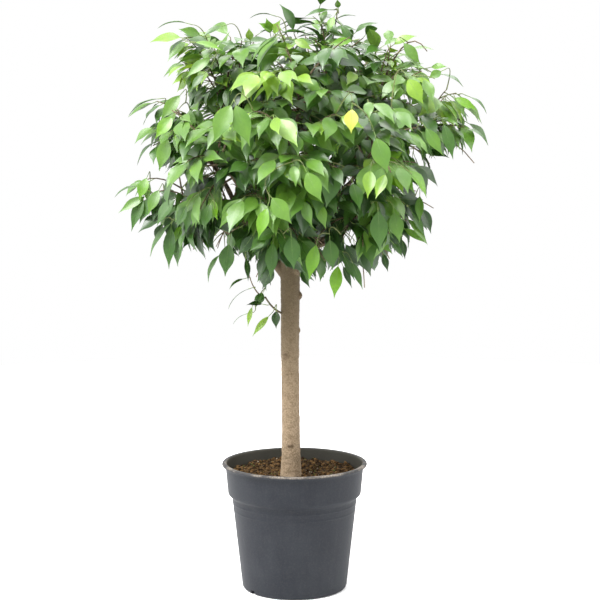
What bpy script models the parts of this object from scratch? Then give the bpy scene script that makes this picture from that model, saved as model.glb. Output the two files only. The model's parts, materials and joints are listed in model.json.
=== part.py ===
"""A weeping fig grown as a standard tree, in a plastic nursery pot.

Units are metres and +Z is up. The origin is the centre of the pot's flat underside,
-Y is the tree's front and +X its right as seen from there. The pot, the root ball,
the trunk, each bough and each mass of foliage is an object of its own.
"""

import math
import random

import bmesh
import bpy
import numpy as np
from mathutils import Matrix, Vector, noise
from mathutils.bvhtree import BVHTree

SEAT_GAP = 0.0003  # left between pieces that touch
MERGE = 0.00005  # points nearer than this are one

# ------------------------------------------------------------------ pot and root ball
POT_HEIGHT = 0.244
POT_WALL = 0.0022
POT_FLOOR = 0.0026
POT_SEGMENTS = 40
LIP_RADIUS = 0.139  # outermost reach of the rolled lip
LIP_BEAD = 0.0034  # radius of the roll
LIP_EDGE = 0.0012  # from the inner wall to where the top of the lip begins
LIP_DROP = 0.0109  # from the top to where the lip's underside meets the collar
COLLAR_TOP_RADIUS = 0.1320
COLLAR_FOOT_RADIUS = 0.1278
COLLAR_FOOT = 0.1865
COLLAR_EDGE = (0.1266, 0.1835)  # radius and height where its rounded lower edge ends
SHOULDER_RADIUS = 0.1198
SHOULDER_FOOT = 0.177
RING_OFFSET = 0.0009  # how far the shallow stacking rings under the shoulder stand out
RING_HEIGHTS = (0.1665, 0.1530)
RING_ROUND = 0.0010  # height of a ring's upper slope
RING_DROP = 0.0012  # height of its underside
BASE_RADIUS = 0.1008
FOOT_RADIUS = 0.0940  # where the rounded corner meets the flat underside
FOOT_ROUND = 0.0065
DRAIN_SLOTS = (38, 173, 218, 353)  # bearings in degrees
DRAIN_SLOT_SIZE = (0.016, 0.0105, 0.0160)  # radial, around, and twice the height cut
DRAIN_SLOT_RADIUS = 0.0965

SOIL_DEPTH = 0.026  # below the lip
SOIL_LUMP = 0.006  # how far its surface rises and falls
SOIL_LUMPS = 38.0  # about how many rises and falls there are to a metre
SOIL_FLAT_RADIUS = 0.038  # level ring that the trunk's foot stands in
SOIL_RINGS = (0.030, 0.050, 0.072, 0.096, 0.116)  # radii of the rings of points on top

# ------------------------------------------------------------------ trunk and boughs
TRUNK_X, TRUNK_Y = -0.0070, -0.012  # where the trunk stands on the soil
TRUNK_SIDES = 12
TRUNK_TOP = 0.662
TRUNK_STEPS = 13
TRUNK_CROWDING = 1.25  # brings its rings closer together near the foot
TRUNK_LEAN = -0.0015  # sideways drift from foot to fork
TRUNK_SWAY = 0.0005  # how far it bends to and fro
TRUNK_SWAY_TURNS = 9.0  # angle that its bends go through on the way up
TRUNK_RADIUS = 0.0171
TRUNK_FLARE = 0.0036  # added at the foot, fading upwards
TRUNK_FLARE_HEIGHT = 0.035
TRUNK_HEAD = 0.0030  # added at the fork
TRUNK_HEAD_HEIGHT = 0.070
KNOTS = (  # height, bearing in degrees, size
    (0.283, 265, 0.0060),
    (0.452, 235, 0.0065),
    (0.500, 350, 0.0050),
    (0.566, 355, 0.0085),
)
KNOT_STANDS = 0.62  # share of a knot's size that stands out of the bark

BOUGH_SIDES = 8
BRANCH_SIDES = 6
LIMB_STEPS = 5
BOUGH_RADIUS = 0.0086
BOUGH_TIP_RADIUS = 0.0046
LEADER_SHARE = 0.80  # the leader's radius at its foot as a share of the trunk's
BRANCH_SHARE = 0.74  # a branch's radius as a share of its parent's there
BRANCH_TIP_RADIUS = 0.0038
BRANCH_MOST_TIP = 0.8  # its tip's radius is at most this share of its foot's
SHOOT_RADII = (0.0034, 0.0026)  # the thin shoot that hangs beside the trunk
LIMB_BEND = 0.5  # how far along its length a limb holds its first heading
LIMB_TAPER = 0.8  # below 1 it thins faster near the foot

# name of the limb, what it grows from, where along that (0 foot to 1 tip),
# rise of its first stretch in degrees, and the mass that it carries
LIMBS = (
    ("leader", "trunk", 1.00, 86, "foliage_top"),
    ("bough_left", "trunk", 0.855, 44, "foliage_middle_left"),
    ("bough_front_right", "trunk", 0.870, 42, "foliage_middle_front_right"),
    ("bough_back_right", "trunk", 0.865, 42, "foliage_middle_back_right"),
    ("bough_front_left", "trunk", 0.925, 44, "foliage_middle_front_left"),
    ("bough_back_left", "trunk", 0.930, 46, "foliage_middle_back_left"),
    ("bough_right", "trunk", 0.945, 42, "foliage_middle_right"),
    ("branch_front", "bough_front_left", 0.34, 40, "foliage_middle_front"),
    ("branch_upper_left", "bough_left", 0.52, 74, "foliage_upper_left"),
    ("branch_upper_right", "bough_right", 0.46, 74, "foliage_upper_right"),
    ("branch_upper_front", "leader", 0.30, 52, "foliage_upper_front"),
    ("branch_upper_back_left", "leader", 0.42, 48, "foliage_upper_back_left"),
    ("branch_upper_back_right", "leader", 0.54, 44, "foliage_upper_back_right"),
    ("branch_low_left", "bough_left", 0.40, 12, "foliage_low_left"),
    ("branch_low_front", "bough_front_right", 0.28, 4, "foliage_low_front"),
    ("branch_low_right_front", "bough_front_right", 0.44, 4, "foliage_low_right_front"),
    ("branch_low_right_back", "bough_back_right", 0.40, 8, "foliage_low_right_back"),
    ("branch_low_back", "bough_back_left", 0.36, 10, "foliage_low_back"),
    ("branch_low_left_back", "bough_back_left", 0.52, 4, "foliage_low_left_back"),
    ("hanging_shoot", "trunk", 0.700, 35, "foliage_hanging_shoot"),
)
TIP_SHARE = 0.60  # how far a limb goes from its foot to the middle of its mass

# ------------------------------------------------------------------ masses of foliage
# The crown is three tiers of masses round the axis, with one at the top and a small one
# under the crown.
# tier: height of the masses' middles, their distance from the axis, and how far each
# mass's leaves reach from its middle
TIERS = {
    "upper": (0.957, 0.172, 0.152),
    "middle": (0.842, 0.214, 0.147),
    "low": (0.721, 0.171, 0.142),
}
# the bearing of each mass in degrees, from +X and turning towards +Y
UPPER_BEARINGS = {"left": 195, "front": 273, "right": 348, "back_right": 53, "back_left": 125}
MIDDLE_BEARINGS = {
    "left": 183,
    "front_left": 228,
    "front": 270,
    "front_right": 311,
    "right": 358,
    "back_right": 54,
    "back_left": 123,
}
LOW_BEARINGS = {
    "left": 190,
    "front": 257,
    "right_front": 322,
    "right_back": 37,
    "back": 90,
    "left_back": 142,
}
BEARINGS = {"upper": UPPER_BEARINGS, "middle": MIDDLE_BEARINGS, "low": LOW_BEARINGS}
# masses that stand out of their tier: how much further out, how much higher, and how
# much longer their reach is
UNEVEN = {
    "foliage_upper_left": (-0.040, 0.022, -0.024),
    "foliage_upper_right": (0.004, 0.000, -0.008),
    "foliage_middle_left": (-0.016, 0.028, -0.009),
    "foliage_middle_right": (0.040, 0.053, -0.024),
    "foliage_low_left": (0.044, 0.026, -0.008),
    "foliage_low_front": (-0.012, 0.007, 0.000),
    "foliage_low_right_front": (0.000, 0.010, -0.008),
    "foliage_low_right_back": (0.000, 0.010, -0.008),
    "foliage_low_left_back": (0.000, 0.012, -0.010),
}
TOP_MASS = ((0.064, -0.015, 1.002), 0.128)
SHOOT_MASS = ((-0.086, -0.045, 0.590), 0.072)

SEED = 1
CROWN_FOOT = 0.70  # height on the axis that the leaves face away from
CELL_GAP = 0.0008  # from each mass to the middle plane between it and its neighbour
WOOD_GAP = 0.003  # from a mass's twigs and leaves to any other wood

TWIGS_PER_MASS = 6
TWIG_RADIUS = 0.0032
TWIG_TAPER = 0.65
TWIG_TRIES = 8
TWIG_ZONE = 0.65  # share of the stem, from its tip down, that twigs grow from
TWIG_REACH = (0.48, 0.76)  # a twig's length as a share of the mass's reach
TWIG_SHORTENING = 0.5  # how much of its length a twig gives up by its last try
TWIG_SPREAD = 112  # widest angle of a twig from the mass's outward line, in degrees
TWIG_LIFT = 0.8  # how far that line turns up from straight outwards
TWIG_BARE = 0.20  # share of a twig next to its root that has no leaves
STEM_BARE = 0.50  # the same for the stem
LEAF_LENGTH = 0.098
SHOOT_SCALE = 0.55  # twigs and leaves of the hanging shoot, against the crown's
LEAF_WIDTH = 0.52  # this and the next three are shares of the leaf's length
LEAF_THICKNESS = 0.032
LEAF_WIDEST = 0.38  # where along the leaf it is widest
LEAF_CURL = 0.08  # how far the tip falls
LEAF_FALL = (0.8, 1.3)  # how steeply a leaf hangs from its twig, low in the crown
LEAF_TOP_FALL = 0.6  # share of that fall that leaves at the top have
LEAF_END_FALL = 0.35  # how steeply the leaf at a twig's tip hangs
LEAF_FORWARD = 0.5  # how far a leaf at a twig's side leans along the twig
LEAF_ASIDE = 0.6  # how far it leans away from the twig
LEAF_OUTWARD = 0.2  # how far it leans away from the crown's middle
LEAF_WANDER = (0.2, 1.0)  # how far a leaf turns by chance, at its first and last try
LEAF_FACING = 0.4  # how far leaves at the top face the sky
CROWN_TOP = 1.02  # above this leaves are held as at the top
CROWN_LOW = 0.67  # below this they hang as at the bottom
LEAF_STALK = 0.10  # share of a leaf next to its root that may touch its neighbours
LEAF_SPACING = 0.013  # along a twig, leaf to leaf
LEAF_TRIES = 40

GOLDEN_ANGLE = math.pi * (3 - math.sqrt(5))
SHARES = np.linspace(0.3, 1.0, 8)[:, None]  # where along a twig its room is tested
TWIG_SHARES = (np.arange(TWIGS_PER_MASS) + 0.5) / TWIGS_PER_MASS


def tree_masses():
    """The middle and the reach of every mass of foliage, by name."""
    masses = {"foliage_top": TOP_MASS, "foliage_hanging_shoot": SHOOT_MASS}
    for tier, (height, distance, reach) in TIERS.items():
        for side, degrees in BEARINGS[tier].items():
            name = f"foliage_{tier}_{side}"
            further, higher, longer = UNEVEN.get(name, (0.0, 0.0, 0.0))
            x = (distance + further) * math.cos(math.radians(degrees))
            y = (distance + further) * math.sin(math.radians(degrees))
            masses[name] = ((x, y, height + higher), reach + longer)
    return masses


MASSES = tree_masses()


# ------------------------------------------------------------------ scene and materials
def clear_scene():
    """Empties the scene of objects."""
    for thing in list(bpy.data.objects):
        bpy.data.objects.remove(thing)


def new_collection(name, parent=None):
    """A collection in the scene, or in another collection."""
    collection = bpy.data.collections.new(name)
    (parent or bpy.context.scene.collection).children.link(collection)
    return collection


def cutter_collection(name="cutters"):
    """The collection of what only cuts and joins, or one inside it."""
    if name == "cutters":
        collection = new_collection(name)
    else:
        collection = new_collection(name, bpy.data.collections["cutters"])
    collection.hide_render = True
    return collection


def surface(name, colour, roughness):
    """A plain material of one colour."""
    made = bpy.data.materials.new(name)
    made.use_nodes = True
    shader = made.node_tree.nodes["Principled BSDF"]
    shader.inputs["Base Color"].default_value = (*colour, 1.0)
    shader.inputs["Roughness"].default_value = roughness
    shader.inputs["Metallic"].default_value = 0.0
    return made


def place(name, data, collection, skin=None):
    """Adds an object that holds this mesh or curve."""
    made = bpy.data.objects.new(name, data)
    collection.objects.link(made)
    if skin:
        data.materials.clear()
        data.materials.append(skin)
    return made


def make_helper(helper):
    """Marks a cutter, which cuts but is no piece of the tree."""
    helper.hide_render = True
    helper.display_type = "WIRE"
    return helper


def evaluated_mesh(source):
    """A new mesh of the object as its modifiers leave it, in its own space."""
    bpy.context.view_layer.update()
    graph = bpy.context.evaluated_depsgraph_get()
    return bpy.data.meshes.new_from_object(source.evaluated_get(graph))


def smooth(mesh):
    """Shades the mesh smooth, but for its sharp edges."""
    mesh.shade_smooth()
    mesh.set_sharp_from_angle(angle=math.radians(40))
    return mesh


def mesh_of(shape, name):
    """A mesh that takes over a finished bmesh."""
    mesh = bpy.data.meshes.new(name)
    shape.to_mesh(mesh)
    shape.free()
    return mesh


def weld(mesh):
    """Joins the vertices that lie on each other, such as a curve's caps and sides."""
    shape = bmesh.new()
    shape.from_mesh(mesh)
    bmesh.ops.remove_doubles(shape, verts=shape.verts, dist=MERGE)
    shape.to_mesh(mesh)
    shape.free()
    return mesh


# ------------------------------------------------------------------ pot and root ball
def turned(name, profile, collection, skin):
    """A solid turned about Z from a profile that starts and ends on the axis."""
    mesh = bpy.data.meshes.new(name)
    edges = [(i, i + 1) for i in range(len(profile) - 1)]
    mesh.from_pydata([(r, 0.0, z) for r, z in profile], edges, [])
    made = place(name, mesh, collection, skin)
    screw = made.modifiers.new("turn", "SCREW")
    screw.axis = "Z"
    screw.steps = POT_SEGMENTS
    screw.render_steps = POT_SEGMENTS
    screw.use_merge_vertices = True
    screw.merge_threshold = MERGE
    return made


def arc(centre, radius, start_degrees, end_degrees, steps):
    """Points of an arc in the profile plane."""
    angles = [
        math.radians(start_degrees + (end_degrees - start_degrees) * i / steps)
        for i in range(steps + 1)
    ]
    return [
        (centre[0] + radius * math.cos(a), centre[1] + radius * math.sin(a))
        for a in angles
    ]


def body_radius(height):
    """Outer radius of the pot's tapering body below the shoulder."""
    share = (height - FOOT_ROUND) / (SHOULDER_FOOT - FOOT_ROUND)
    return BASE_RADIUS + (SHOULDER_RADIUS - BASE_RADIUS) * share


def ring_profile(height):
    """A shallow step in the body's wall, as (radius, height) points going down."""
    return [
        (body_radius(height) + RING_OFFSET, height + RING_ROUND),
        (body_radius(height - RING_DROP), height - RING_DROP),
    ]


def pot_profile():
    """The pot's section: up the inside, over the rolled lip, down the outside."""
    inside = [
        (0.0, POT_FLOOR),
        (FOOT_RADIUS - POT_WALL, POT_FLOOR),
        (BASE_RADIUS - POT_WALL, FOOT_ROUND + POT_FLOOR),
        (SHOULDER_RADIUS - POT_WALL, SHOULDER_FOOT),
        (COLLAR_FOOT_RADIUS - POT_WALL, COLLAR_FOOT),
        (COLLAR_TOP_RADIUS - POT_WALL, POT_HEIGHT - LIP_BEAD),
    ]
    lip_centre = (LIP_RADIUS - LIP_BEAD, POT_HEIGHT - LIP_BEAD)
    lip = arc(lip_centre, LIP_BEAD, 90, -80, 4)
    outside = [
        (COLLAR_TOP_RADIUS, POT_HEIGHT - LIP_DROP),
        (COLLAR_FOOT_RADIUS, COLLAR_FOOT),
        COLLAR_EDGE,
        (SHOULDER_RADIUS, SHOULDER_FOOT),
    ]
    for height in RING_HEIGHTS:
        outside += ring_profile(height)
    corner = arc((FOOT_RADIUS, FOOT_ROUND), 1.0, 0, -90, 2)
    foot = [
        (
            FOOT_RADIUS + (x - FOOT_RADIUS) * (BASE_RADIUS - FOOT_RADIUS),
            FOOT_ROUND + (z - FOOT_ROUND) * FOOT_ROUND,
        )
        for x, z in corner
    ]
    over = [(COLLAR_TOP_RADIUS - POT_WALL + LIP_EDGE, POT_HEIGHT)]
    return inside + over + lip + outside + foot + [(0.0, 0.0)]


def make_pot(collection, skin):
    """The nursery pot, with drain slots through the corner of its foot."""
    pot = turned("pot", pot_profile(), collection, skin)
    slots = cutter_collection("drain_slots")
    for degrees in DRAIN_SLOTS:
        bearing = math.radians(degrees)
        shape = bmesh.new()
        bmesh.ops.create_cube(shape, size=1.0)
        bmesh.ops.scale(shape, vec=DRAIN_SLOT_SIZE, verts=shape.verts)
        mesh = mesh_of(shape, "drain_slot")
        slot = make_helper(place(f"drain_slot_{degrees}", mesh, slots))
        slot.location = (
            DRAIN_SLOT_RADIUS * math.cos(bearing),
            DRAIN_SLOT_RADIUS * math.sin(bearing),
            0.0,
        )
        slot.rotation_euler.z = bearing
    cut = pot.modifiers.new("drain_slots", "BOOLEAN")
    cut.operation = "DIFFERENCE"
    cut.operand_type = "COLLECTION"
    cut.collection = slots


def soil_level():
    """Height of the soil where it is level."""
    return POT_HEIGHT - SOIL_DEPTH


def soil_lump(x, y):
    """How far the loose soil stands above or below its level at a point."""
    from_trunk = math.hypot(x - TRUNK_X, y - TRUNK_Y)
    fade = min(1.0, max(0.0, (from_trunk - SOIL_FLAT_RADIUS) / SOIL_FLAT_RADIUS))
    return fade * SOIL_LUMP * noise.noise(Vector((x, y, 0.0)) * SOIL_LUMPS)


def make_soil(collection, skin):
    """The root ball, which fills the pot to just under its lip."""
    wall = POT_WALL + SEAT_GAP
    level = soil_level()
    share = (level - COLLAR_FOOT) / (POT_HEIGHT - LIP_BEAD - COLLAR_FOOT)
    brim = COLLAR_FOOT_RADIUS + (COLLAR_TOP_RADIUS - COLLAR_FOOT_RADIUS) * share - wall
    profile = [(0.0, level)]
    profile += [(ring, level) for ring in SOIL_RINGS]
    profile += [
        (brim, level),
        (COLLAR_FOOT_RADIUS - wall, COLLAR_FOOT),
        (SHOULDER_RADIUS - wall, SHOULDER_FOOT),
        (BASE_RADIUS - wall, FOOT_ROUND + POT_FLOOR + SEAT_GAP),
        (FOOT_RADIUS - wall, POT_FLOOR + SEAT_GAP),
        (0.0, POT_FLOOR + SEAT_GAP),
    ]
    soil = turned("soil", profile, collection, skin)
    mesh = weld(evaluated_mesh(soil))
    for vertex in mesh.vertices:
        on_top = vertex.co.z > level - MERGE
        if on_top and vertex.co.xy.length < brim - MERGE:
            vertex.co.z += soil_lump(vertex.co.x, vertex.co.y)
    bpy.data.objects.remove(soil)
    place("soil", smooth(mesh), collection, skin)


# ------------------------------------------------------------------ trunk and boughs
class Limb:
    """A tapering limb: the points of its middle line and its radius at each."""

    def __init__(self, name, points, radii, sides):
        self.name = name
        self.points = [Vector(point) for point in points]
        self.radii = list(radii)
        self.sides = sides

    def at(self, share):
        """Point, direction and radius at a share of the way from foot to tip."""
        place_on = share * (len(self.points) - 1)
        step = min(int(place_on), len(self.points) - 2)
        part = place_on - step
        point = self.points[step].lerp(self.points[step + 1], part)
        heading = (self.points[step + 1] - self.points[step]).normalized()
        radius = self.radii[step] + (self.radii[step + 1] - self.radii[step]) * part
        return point, heading, radius

    def mesh(self, extra=0.0):
        """The limb as a closed mesh, this much thicker all round."""
        curve = bpy.data.curves.new(self.name, "CURVE")
        curve.dimensions = "3D"
        curve.bevel_depth = 1.0
        curve.bevel_resolution = self.sides // 2 - 2
        curve.use_fill_caps = True
        spline = curve.splines.new("POLY")
        spline.points.add(len(self.points) - 1)
        for slot, point, radius in zip(spline.points, self.points, self.radii):
            slot.co = (*point, 1.0)
            slot.radius = radius + extra
        drawn = bpy.data.objects.new(self.name, curve)
        bpy.context.scene.collection.objects.link(drawn)
        made = smooth(weld(evaluated_mesh(drawn)))
        bpy.data.objects.remove(drawn)
        return made

    def samples(self):
        """Points every few millimetres along the limb, with the radius at each."""
        length = sum((b - a).length for a, b in zip(self.points, self.points[1:]))
        count = max(2, math.ceil(length / 0.004))
        taken = [self.at(i / count) for i in range(count + 1)]
        return np.array([p for p, _, _ in taken]), np.array([r for _, _, r in taken])


def trunk_limb():
    """The trunk's line and taper, from its flat foot on the soil to the fork."""
    foot = soil_level() + SEAT_GAP
    points, radii = [], []
    for step in range(TRUNK_STEPS + 1):
        share = (step / TRUNK_STEPS) ** TRUNK_CROWDING
        height = foot + (TRUNK_TOP - foot) * share
        sway = TRUNK_SWAY * math.sin(share * TRUNK_SWAY_TURNS)
        points.append((TRUNK_X + TRUNK_LEAN * share + sway, TRUNK_Y, height))
        flare = TRUNK_FLARE * math.exp(-(height - foot) / TRUNK_FLARE_HEIGHT)
        head = TRUNK_HEAD * math.exp(-(TRUNK_TOP - height) / TRUNK_HEAD_HEIGHT)
        radii.append(TRUNK_RADIUS + flare + head)
    points[1] = (points[0][0], points[0][1], points[1][2])  # level foot
    return Limb("trunk", points, radii, TRUNK_SIDES)


def make_limb(name, parent, share, rise_degrees, mass_name):
    """The middle line and taper of one bough or branch."""
    foot, along, parent_radius = parent.at(share)
    middle, _ = MASSES[mass_name]
    middle = Vector(middle)
    if name == "leader":
        radius = parent_radius * LEADER_SHARE
        tip_radius = BOUGH_TIP_RADIUS
        foot = foot + along * SEAT_GAP
    elif name == "hanging_shoot":
        radius, tip_radius = SHOOT_RADII
    elif parent.name == "trunk":
        radius = BOUGH_RADIUS
        tip_radius = BOUGH_TIP_RADIUS
    else:
        radius = parent_radius * BRANCH_SHARE
        tip_radius = min(BRANCH_TIP_RADIUS, radius * BRANCH_MOST_TIP)
    tip = foot.lerp(middle, TIP_SHARE)
    level = Vector((tip.x - foot.x, tip.y - foot.y, 0.0)).normalized()
    rise = math.radians(rise_degrees)
    heading = level * math.cos(rise) + Vector((0, 0, 1)) * math.sin(rise)
    if name == "leader":
        heading = along
    bend = foot + heading * (tip - foot).length * LIMB_BEND
    points, radii = [], []
    for step in range(LIMB_STEPS + 1):
        t = step / LIMB_STEPS
        points.append(foot.lerp(bend, t).lerp(bend.lerp(tip, t), t))
        radii.append(radius + (tip_radius - radius) * t**LIMB_TAPER)
    if name == "leader":  # its flat foot lies square on the trunk's top
        points[1] = foot + along * (points[1] - foot).length
    sides = BOUGH_SIDES if parent.name == "trunk" else BRANCH_SIDES
    return Limb(name, points, radii, sides)


def all_limbs():
    """The trunk and every limb by name, each worked out from its parent."""
    limbs = {"trunk": trunk_limb()}
    for name, parent, share, rise, mass_name in LIMBS:
        limbs[name] = make_limb(name, limbs[parent], share, rise, mass_name)
    return limbs


def add_knots(trunk, limb):
    """Fuses the old pruning knots to the trunk."""
    knots = cutter_collection("knots")
    heights = [point.z for point in limb.points]
    for index, (height, degrees, size) in enumerate(KNOTS):
        share = float(np.interp(height, heights, np.linspace(0, 1, len(heights))))
        point, _, radius = limb.at(share)
        bearing = math.radians(degrees)
        out = Vector((math.cos(bearing), math.sin(bearing), 0.0))
        shape = bmesh.new()
        bmesh.ops.create_uvsphere(shape, u_segments=6, v_segments=4, radius=size)
        knot = make_helper(place(f"knot_{index}", mesh_of(shape, "knot"), knots))
        knot.location = point + out * (radius - size * (1 - KNOT_STANDS))
    join = trunk.modifiers.new("knots", "BOOLEAN")
    join.operation = "UNION"
    join.operand_type = "COLLECTION"
    join.collection = knots


def cut_saddle(limb, parent):
    """Cuts a limb's foot to lie on its parent, just clear of it."""
    name = f"seat_on_{parent.name}"
    if name not in bpy.data.objects:
        cutters = bpy.data.collections["cutters"]
        make_helper(place(name, parent.mesh(extra=SEAT_GAP), cutters))
    saddle = limb.modifiers.new("saddle", "BOOLEAN")
    saddle.operation = "DIFFERENCE"
    saddle.object = bpy.data.objects[name]


def make_limbs(limbs, collection, skin):
    """An object for the trunk and one for each limb."""
    trunk = place("trunk", limbs["trunk"].mesh(), collection, skin)
    add_knots(trunk, limbs["trunk"])
    for name, parent, *_ in LIMBS:
        made = place(name, limbs[name].mesh(), collection, skin)
        if name != "leader":
            cut_saddle(made, limbs[parent])


# ------------------------------------------------------------------ masses of foliage
def unit(vector):
    """The vector at length 1, as an array."""
    vector = np.asarray(vector, float)
    return vector / np.linalg.norm(vector)


def make_stem(mass_name, limb):
    """The stem that a mass grows round, from its limb's tip to the mass's middle."""
    tip, heading, radius = limb.at(1.0)
    middle = Vector(MASSES[mass_name][0])
    along = (middle - tip).normalized()
    slant = math.sqrt(max(0.0, 1 - along.dot(heading) ** 2))
    start = tip + heading * SEAT_GAP + along * radius * slant
    return Limb(mass_name, [start, middle], [radius, radius * TWIG_TAPER], 3)


class Space:
    """The room that one mass keeps to: nearer its own middle than any other's."""

    def __init__(self, name, wood):
        self.middle = np.array(MASSES[name][0])
        self.reach = MASSES[name][1]
        others = np.array([m for n, (m, _) in MASSES.items() if n != name])
        apart = others - self.middle
        self.away = apart / np.linalg.norm(apart, axis=1)[:, None]
        self.halfway = np.linalg.norm(apart, axis=1) / 2
        samples = [limb.samples() for limb in wood if limb.name != name]
        self.wood_points = np.concatenate([points for points, _ in samples])
        self.wood_radii = np.concatenate([radii for _, radii in samples])

    def holds(self, points, margin):
        """Whether all the points lie in the mass's own room, clear of other wood."""
        offset = points - self.middle
        if np.linalg.norm(offset, axis=1).max() > self.reach:
            return False
        if (offset @ self.away.T > self.halfway - CELL_GAP - margin).any():
            return False
        apart = points[:, None, :] - self.wood_points[None, :, :]
        gaps = np.linalg.norm(apart, axis=2) - self.wood_radii[None, :]
        return bool((gaps > WOOD_GAP + margin).all())


class Twig:
    """A straight three-sided twig that tapers from root to tip."""

    def __init__(self, root, tip, radius):
        self.root = root
        self.tip = tip
        self.heading = unit(tip - root)
        self.length = float(np.linalg.norm(tip - root))
        self.radius = radius

    def matrix(self):
        """Places the shared twig here."""
        turn = Vector(self.heading).to_track_quat("Z", "Y").to_matrix().to_4x4()
        size = Matrix.Diagonal((self.radius, self.radius, self.length, 1.0))
        return Matrix.Translation(Vector(self.root)) @ turn @ size


class Leaf:
    """Where one leaf lies: its root, and its length, side and upper directions."""

    def __init__(self, root, heading, upper, length):
        self.root = root
        self.length = length
        self.along = unit(heading)
        self.side = unit(np.cross(upper, self.along))
        self.upper = np.cross(self.along, self.side)

    def blade(self):
        """Points spread over the blade, beyond the stalk."""
        shares = np.linspace(0.2, 1.0, 7)[:, None]
        tail = np.clip((shares - LEAF_WIDEST) / (1 - LEAF_WIDEST), 0, 1)
        width = self.length * LEAF_WIDTH / 2 * np.minimum(shares / LEAF_WIDEST, 1 - tail)
        middle = self.root + self.along * self.length * shares
        middle = middle - self.upper * self.length * LEAF_CURL * tail
        return np.concatenate([middle + self.side * width * part for part in (-1, 0, 1)])

    def matrix(self):
        """Places the shared leaf here, with its root in the middle of the twig."""
        turn = Matrix(np.column_stack([self.along, self.side, self.upper]).tolist())
        place_at = Matrix.Translation(Vector(self.root)) @ turn.to_4x4()
        return place_at @ Matrix.Scale(self.length, 4)


class Thicket:
    """The surfaces already grown in a mass, which new leaves keep off."""

    def __init__(self):
        self.points = []
        self.faces = []
        self.tree = None

    def add(self, mesh, matrix):
        """Takes in one more piece."""
        first = len(self.points)
        self.points += [matrix @ vertex.co for vertex in mesh.vertices]
        self.faces += [[first + i for i in face.vertices] for face in mesh.polygons]
        self.tree = BVHTree.FromPolygons(self.points, self.faces)

    def touches(self, mesh, matrix):
        """Whether a piece placed so would cut through what is there."""
        points = [matrix @ vertex.co for vertex in mesh.vertices]
        faces = [list(face.vertices) for face in mesh.polygons]
        return bool(self.tree.overlap(BVHTree.FromPolygons(points, faces)))


def unit_leaf(stalk=0.0):
    """The shared leaf: eight faces, its root at the origin and its tip at X = 1."""
    shape = bmesh.new()
    bmesh.ops.create_uvsphere(shape, u_segments=4, v_segments=2, radius=1.0)
    for vertex in shape.verts:
        x, y, z = vertex.co
        if abs(z) > 0.5:  # the sphere's poles become the root and the tip
            vertex.co = (stalk, 0, 0) if z < 0 else (1, 0, -LEAF_CURL)
        else:
            vertex.co = (LEAF_WIDEST, y / 2 * LEAF_WIDTH, -x / 2 * LEAF_THICKNESS)
    bmesh.ops.recalc_face_normals(shape, faces=shape.faces)
    return mesh_of(shape, "leaf")


def unit_twig():
    """The shared twig: a three-sided taper from Z = 0 to 1."""
    shape = bmesh.new()
    bmesh.ops.create_cone(
        shape,
        segments=3,
        radius1=1.0,
        radius2=TWIG_TAPER,
        depth=1.0,
        cap_ends=True,
        matrix=Matrix.Translation((0, 0, 0.5)),
    )
    return mesh_of(shape, "twig")


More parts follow.
